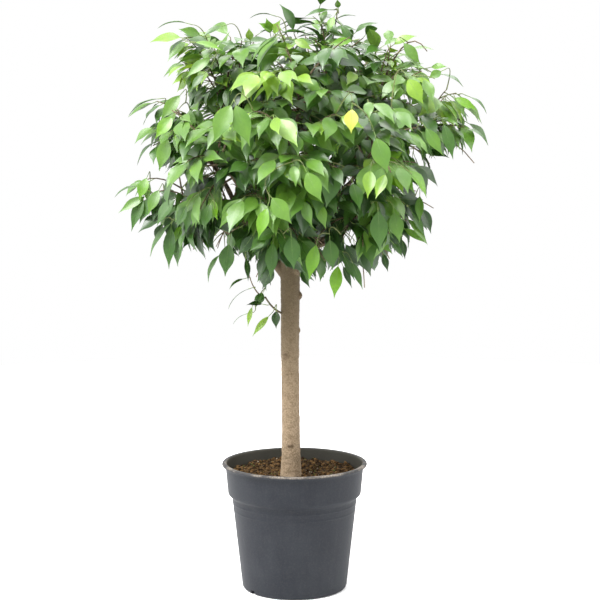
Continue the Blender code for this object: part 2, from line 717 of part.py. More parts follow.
class Mass:
    """One mass of foliage: a stem, its twigs and their leaves, by a seeded rule."""

    def __init__(self, stem, space, chance, shapes):
        self.name = stem.name
        self.space = space
        self.chance = chance
        self.leaf_shape, self.free_leaf, self.twig_shape = shapes
        self.scale = SHOOT_SCALE if "shoot" in self.name else 1.0
        start, middle = (np.array(point) for point in stem.points)
        self.twigs = [Twig(start, middle, stem.radii[0])]
        self.leaves = []
        self.outward = unit(unit(middle - (0.0, 0.0, CROWN_FOOT)) + (0.0, 0.0, TWIG_LIFT))
        for index in range(round(TWIGS_PER_MASS * self.scale)):
            root = middle + (start - middle) * TWIG_ZONE * TWIG_SHARES[index]
            self.grow_twig(root, index)
        self.thicket = Thicket()
        for twig in self.twigs:
            self.thicket.add(self.twig_shape, twig.matrix())
        for index, twig in enumerate(self.twigs):
            self.grow_leaves(twig, 1 if index % 2 else -1)

    def twig_direction(self, index):
        """Direction of the index-th twig, spread evenly round the outward line."""
        tilt = math.radians(TWIG_SPREAD) * math.sqrt(TWIG_SHARES[index])
        turn = index * GOLDEN_ANGLE + self.chance.uniform(-0.5, 0.5)
        side = unit(np.cross(self.outward, (0.2, 0.1, 1.0)))
        over = np.cross(side, self.outward)
        around = side * math.cos(turn) + over * math.sin(turn)
        return self.outward * math.cos(tilt) + around * math.sin(tilt)

    def grow_twig(self, root, index):
        """Grows one twig, in a direction and to a length that keep to its room."""
        for attempt in range(TWIG_TRIES):
            heading = self.twig_direction(index)
            length = self.space.reach * self.chance.uniform(*TWIG_REACH)
            tip = root + heading * length * (1 - TWIG_SHORTENING * attempt / TWIG_TRIES)
            if self.space.holds(root + (tip - root) * SHARES, TWIG_RADIUS):
                self.twigs.append(Twig(root, tip, TWIG_RADIUS * self.scale))
                return

    def grow_leaves(self, twig, side):
        """Grows leaves from side to side along the outer part of a twig."""
        bare = STEM_BARE if twig is self.twigs[0] else TWIG_BARE
        count = max(2, round(twig.length * (1 - bare) / LEAF_SPACING))
        for slot in range(count):
            share = bare + (1 - bare) * slot / count
            self.grow_leaf(twig.root + (twig.tip - twig.root) * share, twig.heading, side)
            side = -side
        tip = twig.tip - twig.heading * 0.004
        if not self.grow_leaf(tip, twig.heading, 0):
            self.grow_leaf(tip, twig.heading, side)

    def grow_leaf(self, root, heading, side):
        """Adds a leaf, turned until it keeps to its room, or else leaves it out."""
        outward = unit(root - (0.0, 0.0, CROWN_FOOT))
        across = unit(np.cross(heading, (0.05, 0.02, 1.0)))
        low = min(1.0, max(0.0, (CROWN_TOP - root[2]) / (CROWN_TOP - CROWN_LOW)))
        hang = LEAF_TOP_FALL + (1 - LEAF_TOP_FALL) * low
        forward = LEAF_FORWARD if side else 1.0
        for attempt in range(LEAF_TRIES):
            wander = np.interp(attempt / LEAF_TRIES, (0, 1), LEAF_WANDER)
            jitter = np.array([self.chance.uniform(-wander, wander) for _ in range(3)])
            fall = self.chance.uniform(*LEAF_FALL) * hang if side else LEAF_END_FALL
            lean = heading * forward + across * side * LEAF_ASIDE + outward * LEAF_OUTWARD
            lean = lean - (0.0, 0.0, fall) + jitter
            upper = outward + (0.0, 0.0, LEAF_FACING * (1 - low)) + jitter / 2
            leaf = Leaf(root, lean, upper, LEAF_LENGTH * self.scale)
            if not self.space.holds(leaf.blade(), leaf.length * LEAF_THICKNESS / 2):
                continue
            if self.thicket.touches(self.free_leaf, leaf.matrix()):
                continue
            self.thicket.add(self.free_leaf, leaf.matrix())
            self.leaves.append(leaf)
            return True
        return False

    def build(self, collection, skin):
        """Fuses the stem, twigs and leaves into one object."""
        pieces = cutter_collection(self.name + "_pieces")
        stem = place("stem", self.twig_shape, collection)
        stem.matrix_world = self.twigs[0].matrix()
        for twig in self.twigs[1:]:
            place("twig", self.twig_shape, pieces).matrix_world = twig.matrix()
        for leaf in self.leaves:
            place("leaf", self.leaf_shape, pieces).matrix_world = leaf.matrix()
        fuse = stem.modifiers.new("fuse", "BOOLEAN")
        fuse.operation = "UNION"
        fuse.operand_type = "COLLECTION"
        fuse.collection = pieces
        fuse.solver = "MANIFOLD"
        mesh = evaluated_mesh(stem)
        mesh.transform(stem.matrix_world)
        for piece in [stem, *pieces.objects]:
            bpy.data.objects.remove(piece)
        bpy.data.collections.remove(pieces)
        keep_largest_shell(mesh)
        return place(self.name, mesh, collection, skin)


def keep_largest_shell(mesh):
    """Drops loose scraps and the walls of sealed hollows that fusing leaves."""
    shape = bmesh.new()
    shape.from_mesh(mesh)
    unseen = set(shape.faces)
    shells = []
    while unseen:
        waiting = [unseen.pop()]
        shell = []
        while waiting:
            face = waiting.pop()
            shell.append(face)
            beside = {other for edge in face.edges for other in edge.link_faces}
            waiting += beside & unseen
            unseen -= beside
        shells.append(shell)
    largest = max(shells, key=len)
    scraps = [face for shell in shells if shell is not largest for face in shell]
    bmesh.ops.delete(shape, geom=scraps, context="FACES")
    shape.to_mesh(mesh)
    shape.free()


def grow_masses(limbs):
    """Grows every mass of foliage on its own limb, clear of all the other wood."""
    stems = [make_stem(mass_name, limbs[name]) for name, _, _, _, mass_name in LIMBS]
    wood = [*limbs.values(), *stems]
    shapes = unit_leaf(), unit_leaf(stalk=LEAF_STALK), unit_twig()
    return [
        Mass(stem, Space(stem.name, wood), random.Random(SEED + number), shapes)
        for number, stem in enumerate(stems)
    ]


def make_masses(limbs, collection, skin):
    """Every mass of foliage, each on its own limb."""
    for mass in grow_masses(limbs):
        mass.build(collection, skin)


def main():
    """Builds the tree and its pot."""
    clear_scene()
    tree = new_collection("standard_fig")
    cutter_collection()
    plastic = surface("pot_plastic", (0.085, 0.090, 0.098), 0.48)
    soil = surface("potting_soil", (0.075, 0.050, 0.030), 0.95)
    bark = surface("bark", (0.300, 0.225, 0.150), 0.85)
    foliage = surface("foliage", (0.110, 0.240, 0.050), 0.38)
    make_pot(tree, plastic)
    make_soil(tree, soil)
    limbs = all_limbs()
    make_limbs(limbs, tree, bark)
    make_masses(limbs, tree, foliage)


if __name__ == "__main__":
    main()
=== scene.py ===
import json
import logging
import math
import random
from dataclasses import dataclass, field
from enum import Enum
from typing import Any, Dict, List, Optional, Sequence, Tuple, Union

import bmesh
import bpy
import numpy as np
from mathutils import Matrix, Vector, noise

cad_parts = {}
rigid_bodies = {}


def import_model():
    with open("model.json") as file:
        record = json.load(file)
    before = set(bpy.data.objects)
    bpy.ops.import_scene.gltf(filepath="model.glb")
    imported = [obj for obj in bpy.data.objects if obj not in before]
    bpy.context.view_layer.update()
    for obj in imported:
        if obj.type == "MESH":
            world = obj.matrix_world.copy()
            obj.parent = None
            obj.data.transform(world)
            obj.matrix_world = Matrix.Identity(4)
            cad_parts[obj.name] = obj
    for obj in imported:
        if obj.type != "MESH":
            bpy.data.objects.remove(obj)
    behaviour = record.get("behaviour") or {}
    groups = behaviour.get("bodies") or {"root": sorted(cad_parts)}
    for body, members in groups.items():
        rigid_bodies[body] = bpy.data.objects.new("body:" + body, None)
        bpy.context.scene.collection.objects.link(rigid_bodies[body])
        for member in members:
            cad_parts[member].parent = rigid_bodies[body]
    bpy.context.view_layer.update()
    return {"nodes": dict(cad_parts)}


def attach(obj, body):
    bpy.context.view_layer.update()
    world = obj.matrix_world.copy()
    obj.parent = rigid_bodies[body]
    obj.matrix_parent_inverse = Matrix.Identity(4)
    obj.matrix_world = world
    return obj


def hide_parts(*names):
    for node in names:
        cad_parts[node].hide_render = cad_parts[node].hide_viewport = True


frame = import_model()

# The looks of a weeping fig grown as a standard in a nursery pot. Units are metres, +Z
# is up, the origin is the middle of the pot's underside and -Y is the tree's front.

LOG = logging.getLogger("standard_fig")

Array = np.ndarray
Pair = Tuple[float, float]
Point = Tuple[float, float, float]
Colour = Tuple[float, float, float]
UP = np.array((0.0, 0.0, 1.0))
GOLDEN_ANGLE = math.pi * (3 - math.sqrt(5))


# ---------------------------------------------------------------- small helpers
def unit(vector: Any) -> Array:
    """The vector at length 1."""
    vector = np.asarray(vector, float)
    return vector / np.linalg.norm(vector)


def units(rows: Array) -> Array:
    """Each row at length 1."""
    return rows / np.linalg.norm(rows, axis=-1, keepdims=True)


def polar(radius: float, degrees: float, height: float = 0.0) -> Point:
    """The point at a distance and bearing from the pot's axis."""
    angle = math.radians(degrees)
    return radius * math.cos(angle), radius * math.sin(angle), height


def grain(point: Any, scale: float, offset: float = 0.0) -> float:
    """Smooth noise of about -1 to 1 at a point, with this many bumps to a metre."""
    return noise.noise(Vector(point) * scale + Vector((offset, offset, offset)))


class Shape:
    """Vertices and faces that are gathered up and then made into one mesh."""

    def __init__(self) -> None:
        """Starts with no faces."""
        self.points: List[Array] = []
        self.faces: List[Array] = []
        self.skins: List[int] = []
        self.count = 0

    def add(self, points: Array, *faces: Array, skin: int = 0) -> None:
        """Takes in some vertices and the faces between them.

        Args:
            points: The vertices, a row each.
            faces: Arrays of triangles or quads that count from the first of them.
            skin: The material slot of the faces.
        """
        for group in faces:
            self.faces.append(np.asarray(group, np.int64) + self.count)
            self.skins.append(skin)
        self.points.append(np.asarray(points, float).reshape(-1, 3))
        self.count += len(self.points[-1])

    def mesh(self, name: str, sharp_degrees: float = 180.0) -> bpy.types.Mesh:
        """Makes the mesh.

        Args:
            name: The mesh's name.
            sharp_degrees: Edges that turn by more than this are shaded sharp.

        Returns:
            The mesh, shaded smooth.
        """
        mesh = bpy.data.meshes.new(name)
        totals = np.concatenate([np.full(len(g), g.shape[1]) for g in self.faces])
        corners = np.concatenate([group.ravel() for group in self.faces])
        starts = np.concatenate(([0], np.cumsum(totals)[:-1]))
        skins = np.repeat(self.skins, [len(group) for group in self.faces])
        mesh.vertices.add(self.count)
        mesh.vertices.foreach_set("co", np.concatenate(self.points).ravel())
        mesh.loops.add(len(corners))
        mesh.loops.foreach_set("vertex_index", corners.astype(np.int32))
        mesh.polygons.add(len(totals))
        mesh.polygons.foreach_set("loop_start", starts.astype(np.int32))
        mesh.polygons.foreach_set("material_index", skins.astype(np.int32))
        mesh.update(calc_edges=True)
        mesh.validate()
        mesh.shade_smooth()
        if sharp_degrees < 180:
            mesh.set_sharp_from_angle(angle=math.radians(sharp_degrees))
        return mesh


def place(
    name: str, mesh: bpy.types.Mesh, slot: str, *skins: bpy.types.Material
) -> bpy.types.Object:
    """Puts a finished piece in the scene.

    Args:
        name: The piece's name.
        mesh: Its mesh, in place.
        slot: The record's material slot that it belongs to; not used.
        skins: Its materials, in the order of the faces' material slots.

    Returns:
        The piece's object.
    """
    piece = bpy.data.objects.new(name, mesh)
    bpy.context.scene.collection.objects.link(piece)
    for skin in skins:
        mesh.materials.append(skin)
    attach(piece, "root")
    LOG.info("%s: %d vertices, %d faces", name, len(mesh.vertices), len(mesh.polygons))
    return piece


def scratch(mesh: bpy.types.Mesh) -> bpy.types.Object:
    """An object that only helps to make another, and is removed later.

    Args:
        mesh: The helper's mesh.

    Returns:
        The helper's object.
    """
    helper = bpy.data.objects.new("helper", mesh)
    bpy.context.scene.collection.objects.link(helper)
    return helper


def applied(helper: bpy.types.Object) -> bpy.types.Mesh:
    """The helper's mesh as its modifiers leave it; the helper is removed.

    Args:
        helper: The object.

    Returns:
        The mesh.
    """
    bpy.context.view_layer.update()
    graph = bpy.context.evaluated_depsgraph_get()
    mesh = bpy.data.meshes.new_from_object(helper.evaluated_get(graph))
    bpy.data.objects.remove(helper)
    return mesh


def tubes(paths: Array, radii: Array, sides: int, shape: Shape, skin: int = 0) -> None:
    """Adds closed round tubes, all with the same number of rings.

    Args:
        paths: Middle lines, as (tube, ring, 3).
        radii: Radii, as (tube, ring).
        sides: Sides of each tube.
        shape: Where the tubes go.
        skin: Material slot of their faces.
    """
    count, rings = paths.shape[:2]
    along = units(np.gradient(paths, axis=1))
    spread = paths[:, -1] - paths[:, 0]
    level = np.stack([-spread[:, 1], spread[:, 0], np.full(count, 1e-4)], axis=1)
    level = units(level)[:, None, :]
    first = units(np.cross(np.broadcast_to(level, along.shape), along))
    second = np.cross(along, first)
    turns = np.arange(sides) * 2 * math.pi / sides
    ring = first[:, :, None, :] * np.cos(turns)[:, None]
    ring = ring + second[:, :, None, :] * np.sin(turns)[:, None]
    skins = paths[:, :, None, :] + ring * radii[:, :, None, None]
    points = np.concatenate([skins.reshape(count, -1, 3), paths[:, [0, -1]]], axis=1)
    here = (np.arange(rings - 1)[:, None] * sides + np.arange(sides)).ravel()
    beside = (np.arange(rings - 1)[:, None] * sides + (np.arange(sides) + 1) % sides).ravel()
    walls = np.stack([here, beside, beside + sides, here + sides], axis=1)
    around = np.arange(sides)
    after = (around + 1) % sides
    foot = np.stack([np.full(sides, rings * sides), after, around], axis=1)
    last = (rings - 1) * sides
    top = np.stack([np.full(sides, rings * sides + 1), last + around, last + after], axis=1)
    firsts = (np.arange(count) * points.shape[1])[:, None, None]
    shape.add(
        points,
        (walls[None] + firsts).reshape(-1, 4),
        (foot[None] + firsts).reshape(-1, 3),
        (top[None] + firsts).reshape(-1, 3),
        skin=skin,
    )


def turned(profile: Sequence[Pair], segments: int, shape: Shape) -> None:
    """Adds a solid turned about Z, from a profile that starts and ends on the axis.

    Args:
        profile: Pairs of radius and height.
        segments: Steps round the axis.
        shape: Where the faces go.
    """
    rows = np.array(profile[1:-1])
    turns = np.arange(segments) * 2 * math.pi / segments
    points = np.empty((len(rows), segments, 3))
    points[:, :, 0] = rows[:, :1] * np.cos(turns)
    points[:, :, 1] = rows[:, :1] * np.sin(turns)
    points[:, :, 2] = rows[:, 1:]
    ends = [(0.0, 0.0, profile[0][1]), (0.0, 0.0, profile[-1][1])]
    points = np.concatenate([points.reshape(-1, 3), ends])
    ring = np.arange(segments)
    after = (ring + 1) % segments
    rises = np.arange(len(rows) - 1)[:, None] * segments
    walls = np.stack(
        [rises + ring, rises + segments + ring, rises + segments + after, rises + after], axis=2
    )
    last = (len(rows) - 1) * segments
    start = np.full(segments, len(rows) * segments)
    shape.add(
        points,
        walls.reshape(-1, 4),
        np.stack([start, ring, after], axis=1),
        np.stack([start + 1, last + after, last + ring], axis=1),
    )


@dataclass(frozen=True)
class FrontView:
    """The front view as the camera has it, with spots counted across and down its frame."""

    eye: Point = (0.0105, -3.0, 0.891)
    pitch: float = 6.37
    lens: float = 95.46
    sensor: float = 36.0
    frame: float = 600.0

    @property
    def focus(self) -> float:
        """Steps of the frame that one metre takes up at a distance of one metre."""
        return self.frame * self.lens / self.sensor

    def behind(self, spot: Pair, depth: float) -> Tuple[Array, float]:
        """What lies behind a spot of the frame.

        Args:
            spot: Steps across and down from the frame's upper left corner.
            depth: The Y coordinate that is wanted, in metres.

        Returns:
            The place, and how far it is along the camera's line of sight.
        """
        level, tilt = math.cos(math.radians(self.pitch)), math.sin(math.radians(self.pitch))
        back = depth - self.eye[1]
        slope = (self.frame / 2 - spot[1]) / self.focus
        rise = (slope * back * level - back * tilt) / (level + slope * tilt)
        away = back * level - rise * tilt
        across = (spot[0] - self.frame / 2) * away / self.focus
        return np.array((self.eye[0] + across, depth, self.eye[2] + rise)), away


VIEW = FrontView()


# ---------------------------------------------------------------- shader helpers
class Wire:
    """One output socket of a node, which can be used in sums."""

    def __init__(self, graph: "Graph", socket: bpy.types.NodeSocket) -> None:
        """Takes a socket of a graph."""
        self.graph = graph
        self.socket = socket

    def maths(self, operation: str, *values: Union[float, "Wire"]) -> "Wire":
        """Adds a Math node with these values in its sockets."""
        return self.graph.node("ShaderNodeMath", {"operation": operation}, dict(enumerate(values)))

    def __add__(self, other: Union[float, "Wire"]) -> "Wire":
        """Self plus other."""
        return self.maths("ADD", self, other)

    def __radd__(self, other: float) -> "Wire":
        """Other plus self."""
        return self.maths("ADD", other, self)

    def __sub__(self, other: Union[float, "Wire"]) -> "Wire":
        """Self less other."""
        return self.maths("SUBTRACT", self, other)

    def __rsub__(self, other: float) -> "Wire":
        """Other less self."""
        return self.maths("SUBTRACT", other, self)

    def __mul__(self, other: Union[float, "Wire"]) -> "Wire":
        """Self times other."""
        return self.maths("MULTIPLY", self, other)

    def __rmul__(self, other: float) -> "Wire":
        """Other times self."""
        return self.maths("MULTIPLY", other, self)

    def rise(self, low: float, high: float) -> "Wire":
        """A smooth step from 0 at low to 1 at high, or down where low is the larger."""
        sockets = {"Value": self, "From Min": low, "From Max": high}
        return self.graph.node("ShaderNodeMapRange", {"interpolation_type": "SMOOTHSTEP"}, sockets)


Value = Union[float, Wire]
Paint = Union[Colour, Wire]


class Graph:
    """The nodes of a material or of the world, made by short calls."""

    def __init__(self, tree: bpy.types.NodeTree) -> None:
        """Takes a node tree and empties it."""
        self.tree = tree
        self.tree.nodes.clear()

    def add(
        self,
        kind: str,
        settings: Optional[Dict[str, Any]] = None,
        sockets: Optional[Dict[Union[int, str], Any]] = None,
    ) -> bpy.types.Node:
        """Adds one node.

        Args:
            kind: The node's type.
            settings: Its own settings, which are set first.
            sockets: A value or a wire for each input socket that is used.

        Returns:
            The node.
        """
        made = self.tree.nodes.new(kind)
        for key, value in (settings or {}).items():
            setattr(made, key, value)
        for key, value in (sockets or {}).items():
            if isinstance(value, Wire):
                self.tree.links.new(value.socket, made.inputs[key])
            elif isinstance(value, tuple) and made.inputs[key].type == "RGBA":
                made.inputs[key].default_value = (*value, 1.0)
            else:
                made.inputs[key].default_value = value
        return made

    def node(
        self,
        kind: str,
        settings: Optional[Dict[str, Any]] = None,
        sockets: Optional[Dict[Union[int, str], Any]] = None,
        output: Union[int, str] = 0,
    ) -> Wire:
        """Adds one node, as above, and gives the output socket that is wanted."""
        return Wire(self, self.add(kind, settings, sockets).outputs[output])


class Coat(Graph):
    """A material's nodes, with the patterns that the finishes are mixed from."""

    def __init__(self, name: str) -> None:
        """Starts a material, with its coordinates at hand.

        Args:
            name: The material's name.
        """
        self.material = bpy.data.materials.new(name)
        self.material.use_nodes = True
        super().__init__(self.material.node_tree)
        self.place = self.node("ShaderNodeTexCoord", output="Object")

    def noise(
        self, scale: float, detail: float = 2.0, roughness: float = 0.5, stretch: Point = (1, 1, 1)
    ) -> Wire:
        """Noise of about 0 to 1 with this many bumps to a metre.

        Args:
            scale: Bumps to a metre.
            detail: How many finer layers it has.
            roughness: How strong the finer layers are.
            stretch: What each coordinate is multiplied by first.

        Returns:
            The noise's value.
        """
        where = self.place
        if stretch != (1, 1, 1):
            settings = {"operation": "MULTIPLY"}
            where = self.node("ShaderNodeVectorMath", settings, {0: where, 1: stretch})
        sockets = {"Vector": where, "Scale": scale, "Detail": detail, "Roughness": roughness}
        return self.node("ShaderNodeTexNoise", None, sockets)

    def cells(self, scale: float, stretch: Point = (1, 1, 1)) -> Wire:
        """Distance to the nearest of scattered points, about this many to a metre.

        Args:
            scale: Points to a metre.
            stretch: The pattern's stretch.

        Returns:
            The distance.
        """
        settings = {"operation": "MULTIPLY"}
        where = self.node("ShaderNodeVectorMath", settings, {0: self.place, 1: stretch})
        sockets = {"Vector": where, "Scale": scale}
        return self.node("ShaderNodeTexVoronoi", {"feature": "F1"}, sockets, "Distance")

    def along(self, axis: str) -> Wire:
        """One coordinate, in metres."""
        return self.node("ShaderNodeSeparateXYZ", None, {0: self.place}, axis)

    def height(self) -> Wire:
        """Height above the ground in metres."""
        return self.along("Z")

    def from_axis(self) -> Wire:
        """Distance from the pot's axis in metres.

        Returns:
            The distance.
        """
        settings = {"operation": "MULTIPLY"}
        flat = self.node("ShaderNodeVectorMath", settings, {0: self.place, 1: (1, 1, 0)})
        return self.node("ShaderNodeVectorMath", {"operation": "LENGTH"}, {0: flat}, "Value")

    def near(self, centre: Point, radius: float) -> Wire:
        """1 at the centre, fading to 0 at the radius.

        Args:
            centre: The middle.
            radius: The reach in metres.

        Returns:
            The share.
        """
        apart = self.node(
            "ShaderNodeVectorMath", {"operation": "DISTANCE"}, {0: self.place, 1: centre}, "Value"
        )
        return apart.rise(radius, radius * 0.25)

    def blend(self, share: Value, low: Paint, high: Paint) -> Wire:
        """A colour between two others."""
        settings = {"data_type": "RGBA"}
        return self.node("ShaderNodeMix", settings, {0: share, 6: low, 7: high}, 2)

    def bump(self, heights: Wire, strength: float, distance: float) -> Wire:
        """Relief for a shader's Normal socket."""
        sockets = {"Strength": strength, "Distance": distance, "Height": heights}
        return self.node("ShaderNodeBump", None, sockets)

    def finish(self, **sockets: Any) -> bpy.types.Material:
        """Ends the graph with a Principled shader and gives the material.

        Returns:
            The material.
        """
        named = {
            key.replace("_", " ").title().replace("Ior", "IOR"): value
            for key, value in sockets.items()
        }
        return self.end(self.node("ShaderNodeBsdfPrincipled", None, named))

    def end(self, shader: Wire) -> bpy.types.Material:
        """Ends the graph with this shader and gives the material."""
        self.add("ShaderNodeOutputMaterial", None, {"Surface": shader})
        return self.material


# ---------------------------------------------------------------- finishes
@dataclass(frozen=True)
class PotPlastic:
    """Matt grey plastic with a fine grain, dust on its rim, faint scuffs and painted shade under the lip and
    the collar's step.
    """

    name: str = "pot_plastic_matt"
    colour: Colour = (0.0185, 0.0212, 0.0265)
    dark: Colour = (0.0122, 0.0142, 0.0195)
    dust: Colour = (0.330, 0.285, 0.235)
    splash: Colour = (0.062, 0.058, 0.042)
    rim_height: float = 0.2405
    wall_middle: float = 0.1099
    wall_slope: float = 0.0901
    soil_height: float = 0.218
    sheen: float = 0.20
    painted_shade_bands: Tuple[Pair, ...] = ((0.2300, 0.0050), (0.1760, 0.0038))

    def material(self) -> bpy.types.Material:
        """The finish as a material.

        Returns:
            The material.
        """
        graph = Coat(self.name)
        height = graph.height()
        cloud = graph.noise(14.0, 4.0, 0.6)
        streaks = graph.noise(60.0, 3.0, 0.6, (1.0, 1.0, 0.12))
        fine = graph.noise(900.0, 2.0)
        body = graph.blend((0.7 * cloud + 0.3 * streaks).rise(0.35, 0.65), self.dark, self.colour)
        # Painted shade: near-black bands just under the lip's bead and in the corner under the collar's
        # step, where the shadow lines fall.
        for middle, reach in self.painted_shade_bands:
            painted_shade = (height - middle).maths("ABSOLUTE").rise(reach, reach * 0.3)
            body = graph.blend(painted_shade * 0.95, body, (0.002, 0.0025, 0.0035))
        upright = graph.from_axis() - height * self.wall_slope
        within = upright.rise(self.wall_middle + 0.0004, self.wall_middle - 0.0004)
        within = within * height.rise(self.soil_height - 0.030, self.soil_height)
        body = graph.blend(within * (0.45 + 0.50 * cloud), body, self.splash)
        on_rim = height.rise(self.rim_height - 0.001, self.rim_height + 0.0025)
        specks = graph.noise(330.0, 4.0, 0.7).rise(0.47, 0.62)
        patches = graph.noise(34.0, 3.0, 0.6).rise(0.38, 0.60)
        front = graph.along("Y").rise(0.06, -0.06)
        dust = on_rim * (0.08 + 0.92 * front) * (0.08 + 0.26 * patches + 0.56 * specks * patches)
        dusty = dust + 0.02 * specks
        scuffs = graph.noise(120.0, 3.0, 0.6, (1.0, 1.0, 0.08)).rise(0.60, 0.72)
        return graph.finish(
            base_color=graph.blend(dusty, body, self.dust),
            roughness=0.50 + 0.12 * cloud - 0.08 * scuffs + 0.15 * dusty,
            specular_ior_level=self.sheen,
            normal=graph.bump(0.5 * fine + 0.5 * streaks, 0.25, 0.0005),
        )


@dataclass(frozen=True)
class Peat:
    """Crumbly potting soil of one tint."""

    name: str = "potting_soil_peat"
    dark: Colour = (0.014, 0.007, 0.002)
    light: Colour = (0.088, 0.050, 0.018)
    sheen: float = 0.15

    def material(self) -> bpy.types.Material:
        """The finish as a material.

        Returns:
            The material.
        """
        graph = Coat(self.name)
        coarse = graph.noise(110.0, 4.0, 0.65)
        fine = graph.noise(620.0, 3.0, 0.6)
        mix = (0.6 * coarse + 0.4 * fine).rise(0.38, 0.64)
        return graph.finish(
            base_color=graph.blend(mix, self.dark, self.light),
            roughness=0.85 + 0.12 * fine,
            specular_ior_level=self.sheen,
            normal=graph.bump(0.6 * fine + 0.4 * coarse, 0.8, 0.0015),
        )


@dataclass(frozen=True)
class FigBark:
    """Pale bark, speckled with lenticels, with painted shade that darkens it towards the crown."""

    name: str = "bark_pale"
    pale: Colour = (0.345, 0.257, 0.168)
    tan: Colour = (0.180, 0.126, 0.070)
    brown: Colour = (0.056, 0.039, 0.014)
    knot: Colour = (0.070, 0.038, 0.018)
    crown_shade_from: float = 0.22
    crown_shade_to: float = 0.64

    def material(self, knots: Sequence[Tuple[Point, float]]) -> bpy.types.Material:
        """The finish as a material.

        Args:
            knots: Middle and radius of each dark knot.

        Returns:
            The material.
        """
        graph = Coat(self.name)
        speckle = graph.noise(360.0, 3.0, 0.75)
        blotch = graph.noise(70.0, 4.0, 0.6)
        rings = graph.noise(150.0, 3.0, 0.55, (0.35, 0.35, 1.0))
        lenticels = graph.cells(210.0, (0.6, 0.6, 1.5)).rise(0.30, 0.12)
        skin = graph.blend((0.7 * speckle + 0.3 * blotch).rise(0.40, 0.60), self.tan, self.pale)
        skin = graph.blend(rings.rise(0.58, 0.74) * 0.35, skin, self.brown)
        # Painted shade: the bark turns dark brown with height, standing in for the crown's shadow on the
        # trunk's head and the boughs.
        high = graph.height().rise(self.crown_shade_from, self.crown_shade_to)
        skin = graph.blend(high * (0.70 + 0.32 * blotch), skin, self.brown)
        skin = graph.blend(lenticels * (high * -0.22 + 0.30), skin, self.pale)
        for centre, radius in knots:
            dark = graph.near(centre, radius) * (0.45 + 0.5 * speckle)
            skin = graph.blend(dark, skin, self.knot)
        relief = 0.5 * speckle + 0.3 * rings + 0.35 * lenticels
        return graph.finish(
            base_color=skin,
            roughness=0.78 + 0.15 * speckle,
            normal=graph.bump(relief, 0.6, 0.0012),
        )


@dataclass(frozen=True)
class TwigBark:
    """Thin bark of twigs and leaf stalks."""

    name: str
    dark: Colour
    light: Colour
    roughness: float = 0.55

    def material(self) -> bpy.types.Material:
        """The finish as a material.

        Returns:
            The material.
        """
        graph = Coat(self.name)
        mottle = graph.noise(180.0, 3.0, 0.6)
        return graph.finish(
            base_color=graph.blend(mottle.rise(0.35, 0.65), self.dark, self.light),
            roughness=self.roughness,
            normal=graph.bump(graph.noise(700.0, 2.0), 0.3, 0.0006),
        )


class Tint(Enum):
    """The greens of the crown, as the colour of a leaf's upper side."""

    DEEP = (0.018, 0.066, 0.006)
    MID = (0.046, 0.138, 0.012)
    SOFT = (0.108, 0.252, 0.026)
    YOUNG = (0.208, 0.390, 0.032)
    FRESH = (0.130, 0.320, 0.008)
    YELLOW = (0.520, 0.600, 0.085)


@dataclass(frozen=True)
class LeafGloss:
    """The waxy upper side or the duller underside of leaves of one tint."""

    tint: Tint
    under: bool = False
    glow: float = 0.16
    shine: float = 0.34

    def material(self) -> bpy.types.Material:
        """The finish as a material.

        Returns:
            The material.
        """
        side = "under" if self.under else "upper"
        graph = Coat(f"leaf_{self.tint.name.lower()}_{side}")
        red, green, blue = self.tint.value
        if self.under:
            red, green, blue = red * 1.4 + 0.015, green * 1.15 + 0.030, blue * 1.3 + 0.010
        mottle = graph.noise(22.0, 2.0)
        fine = graph.noise(240.0, 3.0)
        share = (0.7 * mottle + 0.3 * fine).rise(0.30, 0.70)
        dark = (red * 0.78, green * 0.82, blue * 0.90)
        light = (red * 1.25, green * 1.14, blue * 1.05)
        face = graph.node(
            "ShaderNodeBsdfPrincipled",
            None,
            {
                "Base Color": graph.blend(share, dark, light),
                "Roughness": self.shine + (0.22 if self.under else 0.0) + 0.12 * mottle,
                "Coat Weight": 0.0 if self.under else 0.75,
                "Coat Roughness": 0.36,
                "Normal": graph.bump(fine, 0.50, 0.0008),
            },
        )
        through = (min(red * 2.6 + 0.03, 1.0), min(green * 1.9 + 0.04, 1.0), blue * 0.9)
        behind = graph.node("ShaderNodeBsdfTranslucent", None, {"Color": through})
        return graph.end(graph.node("ShaderNodeMixShader", None, {0: self.glow, 1: face, 2: behind}))


@dataclass(frozen=True)
class FloorPaint:
    """The pale floor."""

    name: str = "studio_floor"
    colour: Colour = (0.86, 0.86, 0.86)
    lift: float = 0.20

    def material(self) -> bpy.types.Material:
        """The finish as a material.

        Returns:
            The material.
        """
        return Coat(self.name).finish(
            base_color=self.colour,
            roughness=0.9,
            specular_ior_level=0.1,
            emission_color=(1.0, 1.0, 1.0),
            emission_strength=self.lift,
        )


